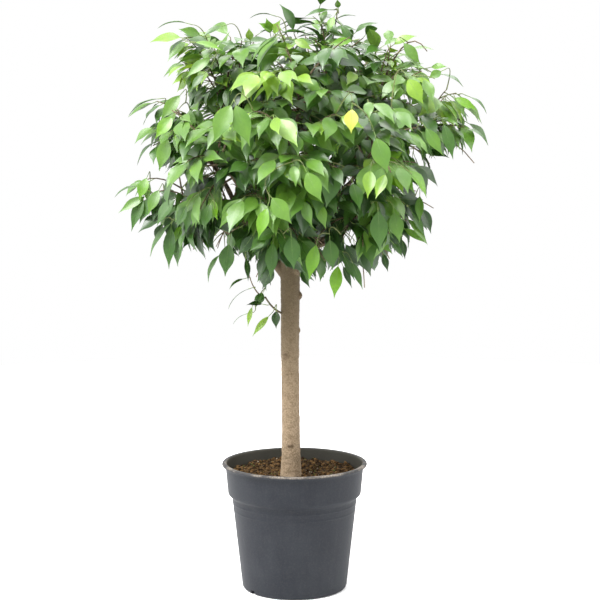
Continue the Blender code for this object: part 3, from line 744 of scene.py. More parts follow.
# ---------------------------------------------------------------- the pot
@dataclass
class NurseryPot:
    """The plastic pot, with its rolled lip, collar, step, rings and drain slots."""

    height: float = 0.244
    wall: float = 0.0022
    floor: float = 0.0026
    segments: int = 144
    lip_radius: float = 0.139
    lip_bead: float = 0.0030
    collar_top: Pair = (0.1320, 0.2331)
    collar_foot: Pair = (0.1278, 0.1865)
    collar_edge: Pair = (0.1266, 0.1835)
    corner: Pair = (0.1198, 0.1770)
    shoulder: Pair = (0.1192, 0.1710)
    base_radius: float = 0.1008
    foot_radius: float = 0.0940
    foot_round: float = 0.0065
    ring_heights: Tuple[float, ...] = (0.1665, 0.1530)
    ring_stands: float = 0.0008
    fillet: float = 0.0012
    slots: Tuple[float, ...] = (38, 173, 218, 353)
    slot_size: Point = (0.016, 0.0105, 0.0160)
    slot_radius: float = 0.0965
    finish: PotPlastic = field(default_factory=PotPlastic)

    def body_radius(self, height: float) -> float:
        """Outer radius of the tapering body below the shoulder."""
        share = (height - self.foot_round) / (self.shoulder[1] - self.foot_round)
        return self.base_radius + (self.shoulder[0] - self.base_radius) * share

    def rounded(self, corners: Sequence[Pair], steps: int = 4) -> List[Pair]:
        """The corners of a section with each inner one rounded off.

        Args:
            corners: The section's corners.
            steps: How many steps each round has.

        Returns:
            The points of the rounded section.
        """
        points = [corners[0]]
        for before, corner, after in zip(corners, corners[1:], corners[2:]):
            here = np.array(corner)
            back, ahead = np.array(before) - here, np.array(after) - here
            reach = min(self.fillet, np.linalg.norm(back) * 0.45, np.linalg.norm(ahead) * 0.45)
            start, end = here + unit(back) * reach, here + unit(ahead) * reach
            for share in np.linspace(0, 1, steps + 1):
                bent = start * (1 - share) ** 2 + here * 2 * share * (1 - share) + end * share**2
                points.append((float(bent[0]), float(bent[1])))
        return points + [corners[-1]]

    def section(self) -> List[Pair]:
        """The pot's section: up the inside, over the lip, down the outside.

        Returns:
            Pairs of radius and height.
        """
        inside = [
            (0.0, self.floor),
            (self.foot_radius - self.wall, self.floor),
            (self.base_radius - self.wall, self.foot_round + self.floor),
            (self.shoulder[0] - self.wall, self.shoulder[1]),
            (self.collar_foot[0] - self.wall, self.collar_foot[1]),
            (self.collar_top[0] - self.wall, self.height - self.lip_bead),
            (self.collar_top[0] - self.wall + 0.0012, self.height - 0.0004),
        ]
        middle = (self.lip_radius - self.lip_bead, self.height - self.lip_bead)
        turns = [math.radians(90 - 220 * i / 14) for i in range(15)]
        lip = [
            (middle[0] + self.lip_bead * math.cos(a), middle[1] + self.lip_bead * math.sin(a))
            for a in turns
        ]
        body = [self.collar_top, self.collar_foot, self.collar_edge, self.corner]
        for height in self.ring_heights:
            body += [
                (self.body_radius(height + 0.0034), height + 0.0034),
                (self.body_radius(height) + self.ring_stands, height + 0.0010),
                (self.body_radius(height - 0.0012), height - 0.0012),
            ]
        body.append((self.base_radius, self.foot_round))
        foot = []
        for step in range(1, 7):
            angle = math.radians(-90 * step / 6)
            across = (self.base_radius - self.foot_radius) * math.cos(angle)
            foot.append((self.foot_radius + across, self.foot_round * (1 + math.sin(angle))))
        start = (middle[0] - self.lip_bead * 0.9, middle[1] - self.lip_bead * 0.9)
        return self.rounded(inside) + lip + self.rounded([start, *body])[1:] + foot + [(0.0, 0.0)]

    def cutters(self) -> bpy.types.Object:
        """All the drain slots as one cutter.

        Returns:
            The cutter's object.
        """
        shape = bmesh.new()
        for bearing in self.slots:
            made = bmesh.ops.create_cube(shape, size=1.0)
            turn = math.radians(bearing)
            for vertex in made["verts"]:
                x = vertex.co.x * self.slot_size[0] + self.slot_radius
                y = vertex.co.y * self.slot_size[1]
                vertex.co = (
                    x * math.cos(turn) - y * math.sin(turn),
                    x * math.sin(turn) + y * math.cos(turn),
                    vertex.co.z * self.slot_size[2],
                )
        mesh = bpy.data.meshes.new("slots")
        shape.to_mesh(mesh)
        shape.free()
        return scratch(mesh)

    def build(self) -> None:
        """Makes the pot and puts it in the CAD pot's place."""
        shape = Shape()
        turned(self.section(), self.segments, shape)
        mesh = shape.mesh("pot_shell")
        body = scratch(mesh)
        cutter = self.cutters()
        cut = body.modifiers.new("slots", "BOOLEAN")
        cut.operation = "DIFFERENCE"
        cut.object = cutter
        mesh = applied(body)
        bpy.data.objects.remove(cutter)
        mesh.shade_smooth()
        mesh.set_sharp_from_angle(angle=math.radians(35))
        piece = place("pot_shell", mesh, "pot_plastic", self.finish.material())
        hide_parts("pot")


# ---------------------------------------------------------------- the root ball
@dataclass
class RootBall:
    """The potting soil: a lumpy filling with loose crumbs, flecks and moss on top."""

    pot: NurseryPot
    level: float = 0.218
    gap: float = 0.0003
    lump: float = 0.0075
    lumps: float = 44.0
    back_rise: float = 0.0055
    flat_radius: float = 0.030
    trunk_foot: Pair = (-0.007, -0.012)
    rings: int = 64
    segments: int = 160
    crumbs: int = 3600
    flecks: int = 130
    moss: int = 260
    seed: int = 5

    def rise(self, x: float, y: float) -> float:
        """How far the soil stands above its level at a point.

        Args:
            x: The point's X coordinate.
            y: The point's Y coordinate.

        Returns:
            The height in metres.
        """
        apart = math.hypot(x - self.trunk_foot[0], y - self.trunk_foot[1])
        fade = min(1.0, max(0.0, (apart - self.flat_radius) / self.flat_radius))
        coarse = self.lump * grain((x, y, 0.0), self.lumps)
        middle = 0.0030 * grain((x, y, 0.3), 120.0)
        fine = 0.0010 * grain((x, y, 0.7), 420.0)
        bank = self.back_rise * min(1.0, max(0.0, (y + 0.02) / 0.10))
        return fade * (coarse + bank) + (0.25 + 0.75 * fade) * (middle + fine)

    def brim(self) -> float:
        """Radius of the soil where it meets the pot's wall.

        Returns:
            The radius.
        """
        top, foot = self.pot.collar_top, self.pot.collar_foot
        share = (self.level - foot[1]) / (self.pot.height - self.pot.lip_bead - foot[1])
        return foot[0] + (top[0] - foot[0]) * share - self.pot.wall - self.gap

    def build_filling(self) -> None:
        """The closed body of soil."""
        wall = self.pot.wall + self.gap
        radii = np.linspace(0.0, 1.0, self.rings + 1) ** 0.85 * self.brim()
        section = [(float(radius), self.level) for radius in radii]
        section += [
            (self.pot.collar_foot[0] - wall, self.pot.collar_foot[1]),
            (self.pot.shoulder[0] - wall, self.pot.shoulder[1]),
            (self.pot.base_radius - wall, self.pot.foot_round + self.pot.floor + self.gap),
            (self.pot.foot_radius - wall, self.pot.floor + self.gap),
            (0.0, self.pot.floor + self.gap),
        ]
        shape = Shape()
        turned(section[::-1], self.segments, shape)
        mesh = shape.mesh("soil_filling")
        for vertex in mesh.vertices:
            if vertex.co.z > self.level - 1e-6:
                edge = min(1.0, (self.brim() - vertex.co.xy.length) / 0.006)
                vertex.co.z += edge * self.rise(vertex.co.x, vertex.co.y) - (1 - edge) * 0.002
        piece = place("soil_filling", mesh, "potting_soil", Peat().material())
        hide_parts("soil")

    def scatter(self, name: str, finish: Peat, count: int, sizes: Pair, slim: Pair) -> None:
        """Strews crumbs of one kind over the soil.

        Args:
            name: The piece's name.
            finish: Its finish.
            count: How many crumbs there are.
            sizes: Smallest and largest length.
            slim: Least and greatest width, as a share of the length.
        """
        chance = random.Random(f"{name}{self.seed}")
        shape = bmesh.new()
        bmesh.ops.create_icosphere(shape, subdivisions=1, radius=0.5)
        ball = np.array([vertex.co for vertex in shape.verts])
        faces = np.array([[vertex.index for vertex in face.verts] for face in shape.faces])
        shape.free()
        crumbs = Shape()
        for _ in range(count):
            spread = self.brim() - 0.003
            x, y, _ = polar(spread * math.sqrt(chance.random()), chance.uniform(0, 360))
            if math.hypot(x - self.trunk_foot[0], y - self.trunk_foot[1]) < 0.0185:
                continue
            size = sizes[0] + (sizes[1] - sizes[0]) * chance.random() ** 2.2
            long, wide, high = size, size * chance.uniform(*slim), size * chance.uniform(*slim)
            turn = chance.uniform(0, math.pi)
            tilt = chance.uniform(-0.5, 0.5)
            rough = np.array([1 + 0.35 * (chance.random() - 0.5) for _ in ball])[:, None]
            points = ball * rough * (long, wide, high)
            points = points @ np.array(
                [[math.cos(tilt), 0, math.sin(tilt)], [0, 1, 0], [-math.sin(tilt), 0, math.cos(tilt)]]
            )
            points = points @ np.array(
                [[math.cos(turn), math.sin(turn), 0], [-math.sin(turn), math.cos(turn), 0], [0, 0, 1]]
            )
            edge = min(1.0, (self.brim() - math.hypot(x, y)) / 0.006)
            ground = self.level + edge * self.rise(x, y) - (1 - edge) * 0.002
            crumbs.add(points + (x, y, ground + high * 0.22), faces)
        place(name, crumbs.mesh(name), "potting_soil", finish.material())

    def build(self) -> None:
        """Makes the soil and everything that lies loose on it."""
        self.build_filling()
        dark = Peat("soil_crumbs_dark", (0.010, 0.005, 0.002), (0.050, 0.027, 0.010))
        brown = Peat("soil_crumbs_brown", (0.070, 0.036, 0.012), (0.165, 0.094, 0.036))
        pale = Peat("soil_flecks_pale", (0.330, 0.290, 0.220), (0.560, 0.520, 0.440))
        green = Peat("soil_moss_green", (0.055, 0.070, 0.016), (0.130, 0.150, 0.045))
        self.scatter("soil_crumbs_dark", dark, self.crumbs // 2, (0.0016, 0.0080), (0.5, 0.9))
        self.scatter("soil_crumbs_brown", brown, self.crumbs // 2, (0.0014, 0.0095), (0.35, 0.85))
        self.scatter("soil_flecks_pale", pale, self.flecks, (0.0010, 0.0036), (0.4, 0.9))
        self.scatter("soil_moss_green", green, self.moss, (0.0015, 0.0050), (0.5, 0.9))


# ---------------------------------------------------------------- trunk and boughs
@dataclass
class Limb:
    """A tapering limb: the points of its middle line and the radius at each."""

    name: str
    points: Array
    radii: Array

    def at(self, share: float) -> Tuple[Array, Array, float]:
        """Point, direction and radius at a share of the way from foot to tip.

        Args:
            share: 0 at the foot and 1 at the tip.

        Returns:
            The three of them.
        """
        place_on = share * (len(self.points) - 1)
        step = min(int(place_on), len(self.points) - 2)
        part = place_on - step
        ahead = self.points[step + 1] - self.points[step]
        radius = self.radii[step] + (self.radii[step + 1] - self.radii[step]) * part
        return self.points[step] + ahead * part, unit(ahead), float(radius)

    def samples(self, every: float = 0.004) -> Tuple[Array, Array]:
        """Points along the limb and the radius at each.

        Args:
            every: The spacing of the points.

        Returns:
            The points and the radii.
        """
        length = float(np.linalg.norm(np.diff(self.points, axis=0), axis=1).sum())
        shares = np.linspace(0, 1, max(2, math.ceil(length / every)) + 1)
        taken = [self.at(share) for share in shares]
        return np.array([p for p, _, _ in taken]), np.array([r for _, _, r in taken])


@dataclass(frozen=True)
class LimbPlan:
    """What one limb grows from and carries."""

    name: str
    parent: str
    share: float
    rise: float
    mass: str


LIMB_PLANS = tuple(
    LimbPlan(name, parent, share, rise, f"foliage_{mass}")
    for name, parent, share, rise, mass in (
        ("leader", "trunk", 1.00, 86, "top"),
        ("bough_left", "trunk", 0.855, 44, "middle_left"),
        ("bough_front_right", "trunk", 0.870, 42, "middle_front_right"),
        ("bough_back_right", "trunk", 0.865, 42, "middle_back_right"),
        ("bough_front_left", "trunk", 0.925, 44, "middle_front_left"),
        ("bough_back_left", "trunk", 0.930, 46, "middle_back_left"),
        ("bough_right", "trunk", 0.945, 42, "middle_right"),
        ("branch_front", "bough_front_left", 0.34, 40, "middle_front"),
        ("branch_upper_left", "bough_left", 0.52, 74, "upper_left"),
        ("branch_upper_right", "bough_right", 0.46, 74, "upper_right"),
        ("branch_upper_front", "leader", 0.30, 52, "upper_front"),
        ("branch_upper_back_left", "leader", 0.42, 48, "upper_back_left"),
        ("branch_upper_back_right", "leader", 0.54, 44, "upper_back_right"),
        ("branch_low_left", "bough_left", 0.40, 12, "low_left"),
        ("branch_low_front", "bough_front_right", 0.28, 4, "low_front"),
        ("branch_low_right_front", "bough_front_right", 0.44, 4, "low_right_front"),
        ("branch_low_right_back", "bough_back_right", 0.40, 8, "low_right_back"),
        ("branch_low_back", "bough_back_left", 0.36, 10, "low_back"),
        ("branch_low_left_back", "bough_back_left", 0.52, 4, "low_left_back"),
        ("hanging_shoot", "trunk", 0.700, 5, "hanging_shoot"),
    )
)


@dataclass
class CrownPlan:
    """Where the masses of foliage are and how far each reaches."""

    tiers: Dict[str, Point] = field(
        default_factory=lambda: {
            "upper": (0.957, 0.172, 0.152),
            "middle": (0.842, 0.214, 0.147),
            "low": (0.721, 0.171, 0.142),
        }
    )
    bearings: Dict[str, Dict[str, float]] = field(
        default_factory=lambda: {
            "upper": {"left": 195, "front": 273, "right": 348, "back_right": 53, "back_left": 125},
            "middle": {
                "left": 183,
                "front_left": 228,
                "front": 270,
                "front_right": 311,
                "right": 358,
                "back_right": 54,
                "back_left": 123,
            },
            "low": {
                "left": 190,
                "front": 257,
                "right_front": 322,
                "right_back": 37,
                "back": 90,
                "left_back": 142,
            },
        }
    )
    uneven: Dict[str, Point] = field(
        default_factory=lambda: {
            "upper_left": (-0.040, 0.022, -0.024),
            "upper_right": (0.004, 0.000, -0.008),
            "middle_left": (-0.016, 0.028, -0.009),
            "middle_right": (0.040, 0.053, -0.024),
            "low_left": (0.044, 0.026, -0.008),
            "low_front": (-0.012, 0.007, 0.000),
            "low_right_front": (0.000, 0.010, -0.008),
            "low_right_back": (0.000, 0.010, -0.008),
            "low_left_back": (0.000, 0.012, -0.010),
        }
    )
    top: Tuple[Point, float] = ((0.064, -0.015, 1.002), 0.128)
    shoot: Tuple[Point, float] = ((-0.086, -0.045, 0.590), 0.072)
    head: Tuple[Point, Point] = ((-0.030, -0.030, 0.536), (0.009, -0.030, 0.614))
    sides: Tuple[Point, ...] = (
        (0.575, -0.030, 0.060),
        (0.600, -0.080, 0.110),
        (0.630, -0.140, 0.165),
        (0.655, -0.205, 0.205),
        (0.690, -0.245, 0.232),
        (0.730, -0.250, 0.245),
        (0.780, -0.232, 0.248),
        (0.815, -0.250, 0.272),
        (0.840, -0.268, 0.315),
        (0.880, -0.276, 0.342),
        (0.920, -0.270, 0.350),
        (0.950, -0.208, 0.325),
        (1.000, -0.212, 0.270),
        (1.050, -0.225, 0.205),
        (1.085, -0.225, 0.120),
    )

    def within(self, points: Array, past: float) -> bool:
        """Whether the points lie between the crown's sides, or at most this far past them.

        Args:
            points: The points, a row each.
            past: How far past, in metres.

        Returns:
            Whether they do.
        """
        heights, left, right = np.array(self.sides).T
        far_left = np.interp(points[:, 2], heights, left) - past
        far_right = np.interp(points[:, 2], heights, right) + past
        return bool(((points[:, 0] > far_left) & (points[:, 0] < far_right)).all())

    def masses(self) -> Dict[str, Tuple[Array, float]]:
        """The middle and the reach of every mass, by name.

        Returns:
            A middle and a reach for each name.
        """
        found = {
            "foliage_top": (np.array(self.top[0]), self.top[1]),
            "foliage_hanging_shoot": (np.array(self.shoot[0]), self.shoot[1]),
        }
        for tier, (height, distance, reach) in self.tiers.items():
            for side, degrees in self.bearings[tier].items():
                further, higher, longer = self.uneven.get(f"{tier}_{side}", (0.0, 0.0, 0.0))
                middle = np.array(polar(distance + further, degrees, height + higher))
                found[f"foliage_{tier}_{side}"] = (middle, reach + longer)
        return found


@dataclass
class Wood:
    """The trunk, the leader, the boughs and the branches, with the bark's relief."""

    masses: Dict[str, Tuple[Array, float]]
    foot: Point = (-0.0070, -0.012, 0.2183)
    top: float = 0.662
    lean: float = -0.0015
    sway: float = 0.0005
    sway_turns: float = 9.0
    radius: float = 0.0171
    flare: Pair = (0.0036, 0.035)
    head: Pair = (0.0030, 0.070)
    knots: Tuple[Tuple[float, float, float], ...] = (
        (0.283, 265, 0.0060),
        (0.452, 235, 0.0065),
        (0.500, 350, 0.0050),
        (0.566, 355, 0.0085),
    )
    knot_stands: float = 0.62
    trunk_steps: int = 60
    limb_steps: int = 18
    bough_radii: Pair = (0.0086, 0.0046)
    leader_share: float = 0.80
    branch_share: float = 0.74
    branch_tip: float = 0.0038
    shoot_radii: Pair = (0.0023, 0.0016)
    tip_share: float = 0.60
    collar: Pair = (0.45, 0.018)
    voxel: float = 0.0015
    finish: FigBark = field(default_factory=FigBark)

    def __post_init__(self) -> None:
        """Works out the trunk and every other limb."""
        self.limbs: Dict[str, Limb] = {"trunk": self.trunk()}
        for plan in LIMB_PLANS:
            self.limbs[plan.name] = self.limb(plan)

    def trunk(self) -> Limb:
        """The trunk's line and taper.

        Returns:
            The limb.
        """
        shares = np.linspace(0, 1, self.trunk_steps + 1)
        heights = self.foot[2] + (self.top - self.foot[2]) * shares
        across = self.foot[0] + self.lean * shares + self.sway * np.sin(shares * self.sway_turns)
        points = np.stack([across, np.full_like(shares, self.foot[1]), heights], axis=1)
        radii = self.radius + self.flare[0] * np.exp((self.foot[2] - heights) / self.flare[1])
        radii += self.head[0] * np.exp((heights - self.top) / self.head[1])
        return Limb("trunk", points, radii)

    def limb(self, plan: LimbPlan) -> Limb:
        """The middle line and taper of one bough or branch.

        Args:
            plan: The limb's plan.

        Returns:
            The limb.
        """
        parent = self.limbs[plan.parent]
        foot, along, parent_radius = parent.at(plan.share)
        middle = self.masses[plan.mass][0]
        if plan.name == "leader":
            radius, tip_radius = parent_radius * self.leader_share, self.bough_radii[1]
        elif plan.name == "hanging_shoot":
            radius, tip_radius = self.shoot_radii
        elif plan.parent == "trunk":
            radius, tip_radius = self.bough_radii
        else:
            radius = parent_radius * self.branch_share
            tip_radius = min(self.branch_tip, radius * 0.8)
        tip = foot + (middle - foot) * self.tip_share
        rise = math.radians(plan.rise)
        heading = unit((tip[0] - foot[0], tip[1] - foot[1], 0.0)) * math.cos(rise)
        heading = along if plan.name == "leader" else heading + UP * math.sin(rise)
        bend = foot + heading * np.linalg.norm(tip - foot) * 0.5
        shares = np.linspace(0, 1, self.limb_steps + 1)[:, None]
        points = foot * (1 - shares) ** 2 + bend * 2 * shares * (1 - shares) + tip * shares**2
        radii = radius + (tip_radius - radius) * shares[:, 0] ** 0.8
        return Limb(plan.name, points, radii)

    def flared(self, limb: Limb) -> Array:
        """The limb's radii with the collar that its foot has.

        Args:
            limb: The limb.

        Returns:
            A radius for each point.
        """
        if limb.name == "trunk":
            return limb.radii
        run = np.linalg.norm(limb.points - limb.points[0], axis=1)
        parent = next(plan.parent for plan in LIMB_PLANS if plan.name == limb.name)
        reach = self.limbs[parent].at(next(p.share for p in LIMB_PLANS if p.name == limb.name))[2]
        swell = self.collar[0] * np.exp(-np.maximum(run - reach, 0) / self.collar[1])
        return limb.radii * (1 + swell)

    def knot_places(self) -> List[Tuple[Point, float]]:
        """Middle and size of each knot.

        Returns:
            The knots.
        """
        trunk = self.limbs["trunk"]
        places = []
        for height, degrees, size in self.knots:
            share = float(np.interp(height, trunk.points[:, 2], np.linspace(0, 1, len(trunk.points))))
            point, _, radius = trunk.at(share)
            out = np.array(polar(1.0, degrees))
            middle = point + out * (radius - size * (1 - self.knot_stands))
            places.append((tuple(float(c) for c in middle), size))
        return places

    def skinned(self) -> List[str]:
        """The limbs that are thick enough for the bark's relief."""
        return [name for name in self.limbs if name != "hanging_shoot"]

    def rough_mesh(self) -> bpy.types.Mesh:
        """All the thicker limbs run together into one skin.

        Returns:
            The mesh.
        """
        shape = Shape()
        for name in self.skinned():
            limb = self.limbs[name]
            sides = 28 if name == "trunk" else 14
            tubes(limb.points[None], self.flared(limb)[None], sides, shape)
        ball = bmesh.new()
        bmesh.ops.create_icosphere(ball, subdivisions=3, radius=1.0)
        points = np.array([vertex.co for vertex in ball.verts])
        faces = np.array([[vertex.index for vertex in face.verts] for face in ball.faces])
        ball.free()
        for middle, size in self.knot_places():
            shape.add(points * size + middle, faces)
        body = scratch(shape.mesh("limbs"))
        skin = body.modifiers.new("skin", "REMESH")
        skin.mode = "VOXEL"
        skin.voxel_size = self.voxel
        soft = body.modifiers.new("soft", "SMOOTH")
        soft.factor = 0.5
        soft.iterations = 4
        return applied(body)

    def relief(self, point: Vector) -> float:
        """How far the bark stands out at a point.

        Args:
            point: A point of the skin.

        Returns:
            The distance.
        """
        lumps = 0.0004 * grain((point.x, point.y, point.z * 0.6), 42.0)
        rings = 0.00045 * grain((point.x * 0.5, point.y * 0.5, point.z), 170.0, 3.0)
        pores = 0.00055 * max(0.0, grain((point.x, point.y, point.z * 1.4), 330.0, 7.0))
        fissures = 0.00040 * grain((point.x, point.y, point.z * 0.22), 260.0, 11.0)
        return lumps + rings + pores + fissures

    def build(self) -> None:
        """Makes the wood as one skin with the bark's relief."""
        mesh = self.rough_mesh()
        normals = [vertex.normal.copy() for vertex in mesh.vertices]
        foot = self.foot[2]
        for vertex, normal in zip(mesh.vertices, normals):
            thin = 1.0 if vertex.co.z < 0.6 else 0.6
            held = min(1.0, max(0.0, (vertex.co.z - foot) / 0.004))
            vertex.co += normal * self.relief(vertex.co) * thin * held
            if vertex.co.z < foot:
                vertex.co.z = foot
        mesh.shade_smooth()
        piece = place("wood_skin", mesh, "bark", self.finish.material(self.knot_marks()))
        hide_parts(*self.skinned())
        self.build_shoot()

    def build_shoot(self) -> None:
        """Makes the thin stem of the hanging shoot."""
        limb = self.limbs["hanging_shoot"]
        shape = Shape()
        tubes(limb.points[None], limb.radii[None], 10, shape)
        finish = TwigBark("shoot_bark", (0.050, 0.038, 0.018), (0.130, 0.100, 0.050), 0.7)
        piece = place("shoot_stem", shape.mesh("shoot_stem"), "bark", finish.material())
        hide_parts(limb.name)

    def knot_marks(self) -> List[Tuple[Point, float]]:
        """The dark marks of the knots."""
        return [(middle, size * 1.5) for middle, size in self.knot_places()]


# ---------------------------------------------------------------- the crown
@dataclass
class Twig:
    """A curved twig: its middle line, its radius at the root and what it carries."""

    points: Array
    radius: float
    spray: int
    bare: float
    tint: Optional[Tint] = None

    def length(self) -> float:
        """Its length along the curve."""
        return float(np.linalg.norm(np.diff(self.points, axis=0), axis=1).sum())

    def at(self, share: float) -> Tuple[Array, Array]:
        """Point and direction at a share of the way from root to tip.

        Args:
            share: 0 at the root and 1 at the tip.

        Returns:
            The two of them.
        """
        place_on = share * (len(self.points) - 1)
        step = min(int(place_on), len(self.points) - 2)
        ahead = self.points[step + 1] - self.points[step]
        return self.points[step] + ahead * (place_on - step), unit(ahead)


@dataclass
class Leaf:
    """Where one leaf lies and how it is bent."""

    stalk_root: Array
    root: Array
    along: Array
    upper: Array
    length: float
    width: float
    bend: float
    fold: float
    sickle: float
    ripple: float
    phase: float
    tint: Tint = Tint.MID


@dataclass
class Blade:
    """The shape that all leaves share: an oval with a long drawn-out tip."""

    outline: Tuple[Pair, ...] = (
        (0.00, 0.00),
        (0.05, 0.21),
        (0.13, 0.51),
        (0.24, 0.81),
        (0.36, 0.98),
        (0.47, 0.98),
        (0.58, 0.84),
        (0.68, 0.60),
        (0.77, 0.35),
        (0.87, 0.14),
        (1.00, 0.00),
    )
    thickness: float = 0.0005
    rib_width: float = 0.0011
    rib_stands: float = 0.0004

    def half_width(self, shares: Array) -> Array:
        """Half the blade's width along it, where the widest is 0.5."""
        return 0.5 * np.interp(shares, *np.array(self.outline).T)

    @property
    def rings(self) -> int:
        """How many steps the blade has from root to tip."""
        return len(self.outline) - 1

    def frames(self, leaves: Sequence[Leaf], shares: Array) -> Tuple[Array, Array, Array, Array]:
        """The midrib's points and the directions across and out of the blade.

        Args:
            leaves: The leaves.
            shares: Where along each leaf.

        Returns:
            Points, side directions, normals and half widths, as (leaf, share, ...).
        """
        along = np.array([leaf.along for leaf in leaves])[:, None]
        upper = np.array([leaf.upper for leaf in leaves])[:, None]
        side = np.cross(upper, along)
        length = np.array([leaf.length for leaf in leaves])[:, None]
        width = np.array([leaf.width for leaf in leaves])[:, None]
        bend = np.array([leaf.bend for leaf in leaves])[:, None]
        sickle = np.array([leaf.sickle for leaf in leaves])[:, None]
        angle = bend * shares**1.2
        steps = np.diff(shares, prepend=0.0)
        ahead = np.cumsum(np.cos(angle) * steps, axis=1) * length
        down = np.cumsum(np.sin(angle) * steps, axis=1) * length
        points = np.array([leaf.root for leaf in leaves])[:, None]
        points = points + along * ahead[..., None] - upper * down[..., None]
        points = points + side * (sickle * length * shares**2)[..., None]
        normal = along * np.sin(angle)[..., None] + upper * np.cos(angle)[..., None]
        return points, np.broadcast_to(side, points.shape), normal, width * self.half_width(shares)

    def run(self, bend: float) -> Pair:
        """How far ahead and down the tip of a blade of length 1 comes.

        Args:
            bend: The blade's bend.

        Returns:
            The two distances.
        """
        shares = np.array([share for share, _ in self.outline])
        angle, steps = bend * shares**1.2, np.diff(shares, prepend=0.0)
        return float((np.cos(angle) * steps).sum()), float((np.sin(angle) * steps).sum())

    def samples(self, leaf: Leaf) -> Array:
        """Points spread over a leaf's blade, to test its room with.

        Args:
            leaf: The leaf.

        Returns:
            The points, a row each.
        """
        shares = np.linspace(0.12, 1.0, 8)
        points, side, _, half = self.frames([leaf], shares)
        edge = side[0] * half[0][:, None] * 0.85
        return np.concatenate([points[0], points[0] + edge, points[0] - edge])

    def add_blades(self, leaves: Sequence[Leaf], shape: Shape) -> None:
        """Adds the closed blades, with the underside in the second material slot.

        Args:
            leaves: The leaves.
            shape: Where the faces go.
        """
        shares = np.array([share for share, _ in self.outline])
        points, side, normal, half = self.frames(leaves, shares)
        fold = np.array([leaf.fold for leaf in leaves])[:, None, None]
        ripple = np.array([leaf.ripple for leaf in leaves])[:, None, None]
        phase = np.array([leaf.phase for leaf in leaves])[:, None, None]
        across = np.array([-1.0, -0.5, 0.0, 0.5, 1.0, -0.5, 0.0, 0.5])
        depth = np.array([0, 0, 0, 0, 0, 1, 1, 1]) * self.thickness
        wide = half[..., None] * across
        wave = ripple * np.sin(phase + shares[None, :, None] * 12.0 + across * 0.8)
        lift = np.abs(wide) * (np.tan(fold) + wave)
        grid = points[:, :, None] + side[:, :, None] * wide[..., None]
        grid = grid + normal[:, :, None] * (lift - depth)[..., None]
        inner = grid[:, 1:-1].reshape(len(leaves), -1, 3)
        ends = points[:, [0, -1]]
        verts = np.concatenate([inner, ends], axis=1)
        over = np.array([0, 1, 2, 3, 4])
        below = np.array([0, 5, 6, 7, 4])
        rows = np.arange(self.rings - 2)[:, None] * 8
        root, tip = (self.rings - 1) * 8, (self.rings - 1) * 8 + 1
        last = (self.rings - 2) * 8
        firsts = (np.arange(len(leaves)) * verts.shape[1])[:, None, None]
        top, bottom = [], []
        for strip, faces, flip in ((over, top, False), (below, bottom, True)):
            near, far = strip[:-1], strip[1:]
            quads = np.stack([rows + near, rows + far, rows + 8 + far, rows + 8 + near], axis=2)
            first = np.stack([np.full(4, root), far, near], axis=1)
            final = np.stack([np.full(4, tip), last + near, last + far], axis=1)
            quads = quads.reshape(-1, 4)
            if not flip:
                quads, first, final = quads[:, ::-1], first[:, ::-1], final[:, ::-1]
            faces += [(g[None] + firsts).reshape(-1, g.shape[1]) for g in (quads, first, final)]
        before = shape.count
        shape.add(verts, *top)
        shape.add(np.empty((0, 3)), *[group + before - shape.count for group in bottom], skin=1)

    def add_ribs(self, leaves: Sequence[Leaf], shape: Shape) -> None:
        """Adds a fine raised midrib along each blade.

        Args:
            leaves: The leaves.
            shape: Where the faces go.
        """
        shares = np.linspace(0.0, 0.93, 8)
        points, side, normal, _ = self.frames(leaves, shares)
        thin = self.rib_width / 2 * (1 - 0.75 * shares)[None, :, None]
        low = normal * -0.0001
        tall = normal * self.rib_stands * (1 - 0.6 * shares)[None, :, None]
        grid = np.stack([points - side * thin + low, points + tall, points + side * thin + low], 2)
        verts = grid.reshape(len(leaves), -1, 3)
        rows = (np.arange(len(shares) - 1) * 3)[:, None]
        around, after = np.arange(3), (np.arange(3) + 1) % 3
        quads = np.stack([rows + around, rows + after, rows + 3 + after, rows + 3 + around], axis=2)
        last = (len(shares) - 1) * 3
        caps = np.array([[0, 2, 1], [last, last + 1, last + 2]])
        firsts = (np.arange(len(leaves)) * verts.shape[1])[:, None, None]
        shape.add(
            verts,
            (quads.reshape(-1, 4)[None] + firsts).reshape(-1, 4),
            (caps[None] + firsts).reshape(-1, 3),
        )


@dataclass(frozen=True)
class Sprig:
    """A twig that is set to a given tip, one that stands out of the crown."""

    limb: str
    tip: Point
    arch: float = 0.03
    bare: float = 0.50
    size: float = 1.0
    tint: Optional[Tint] = None
    leafless: bool = False


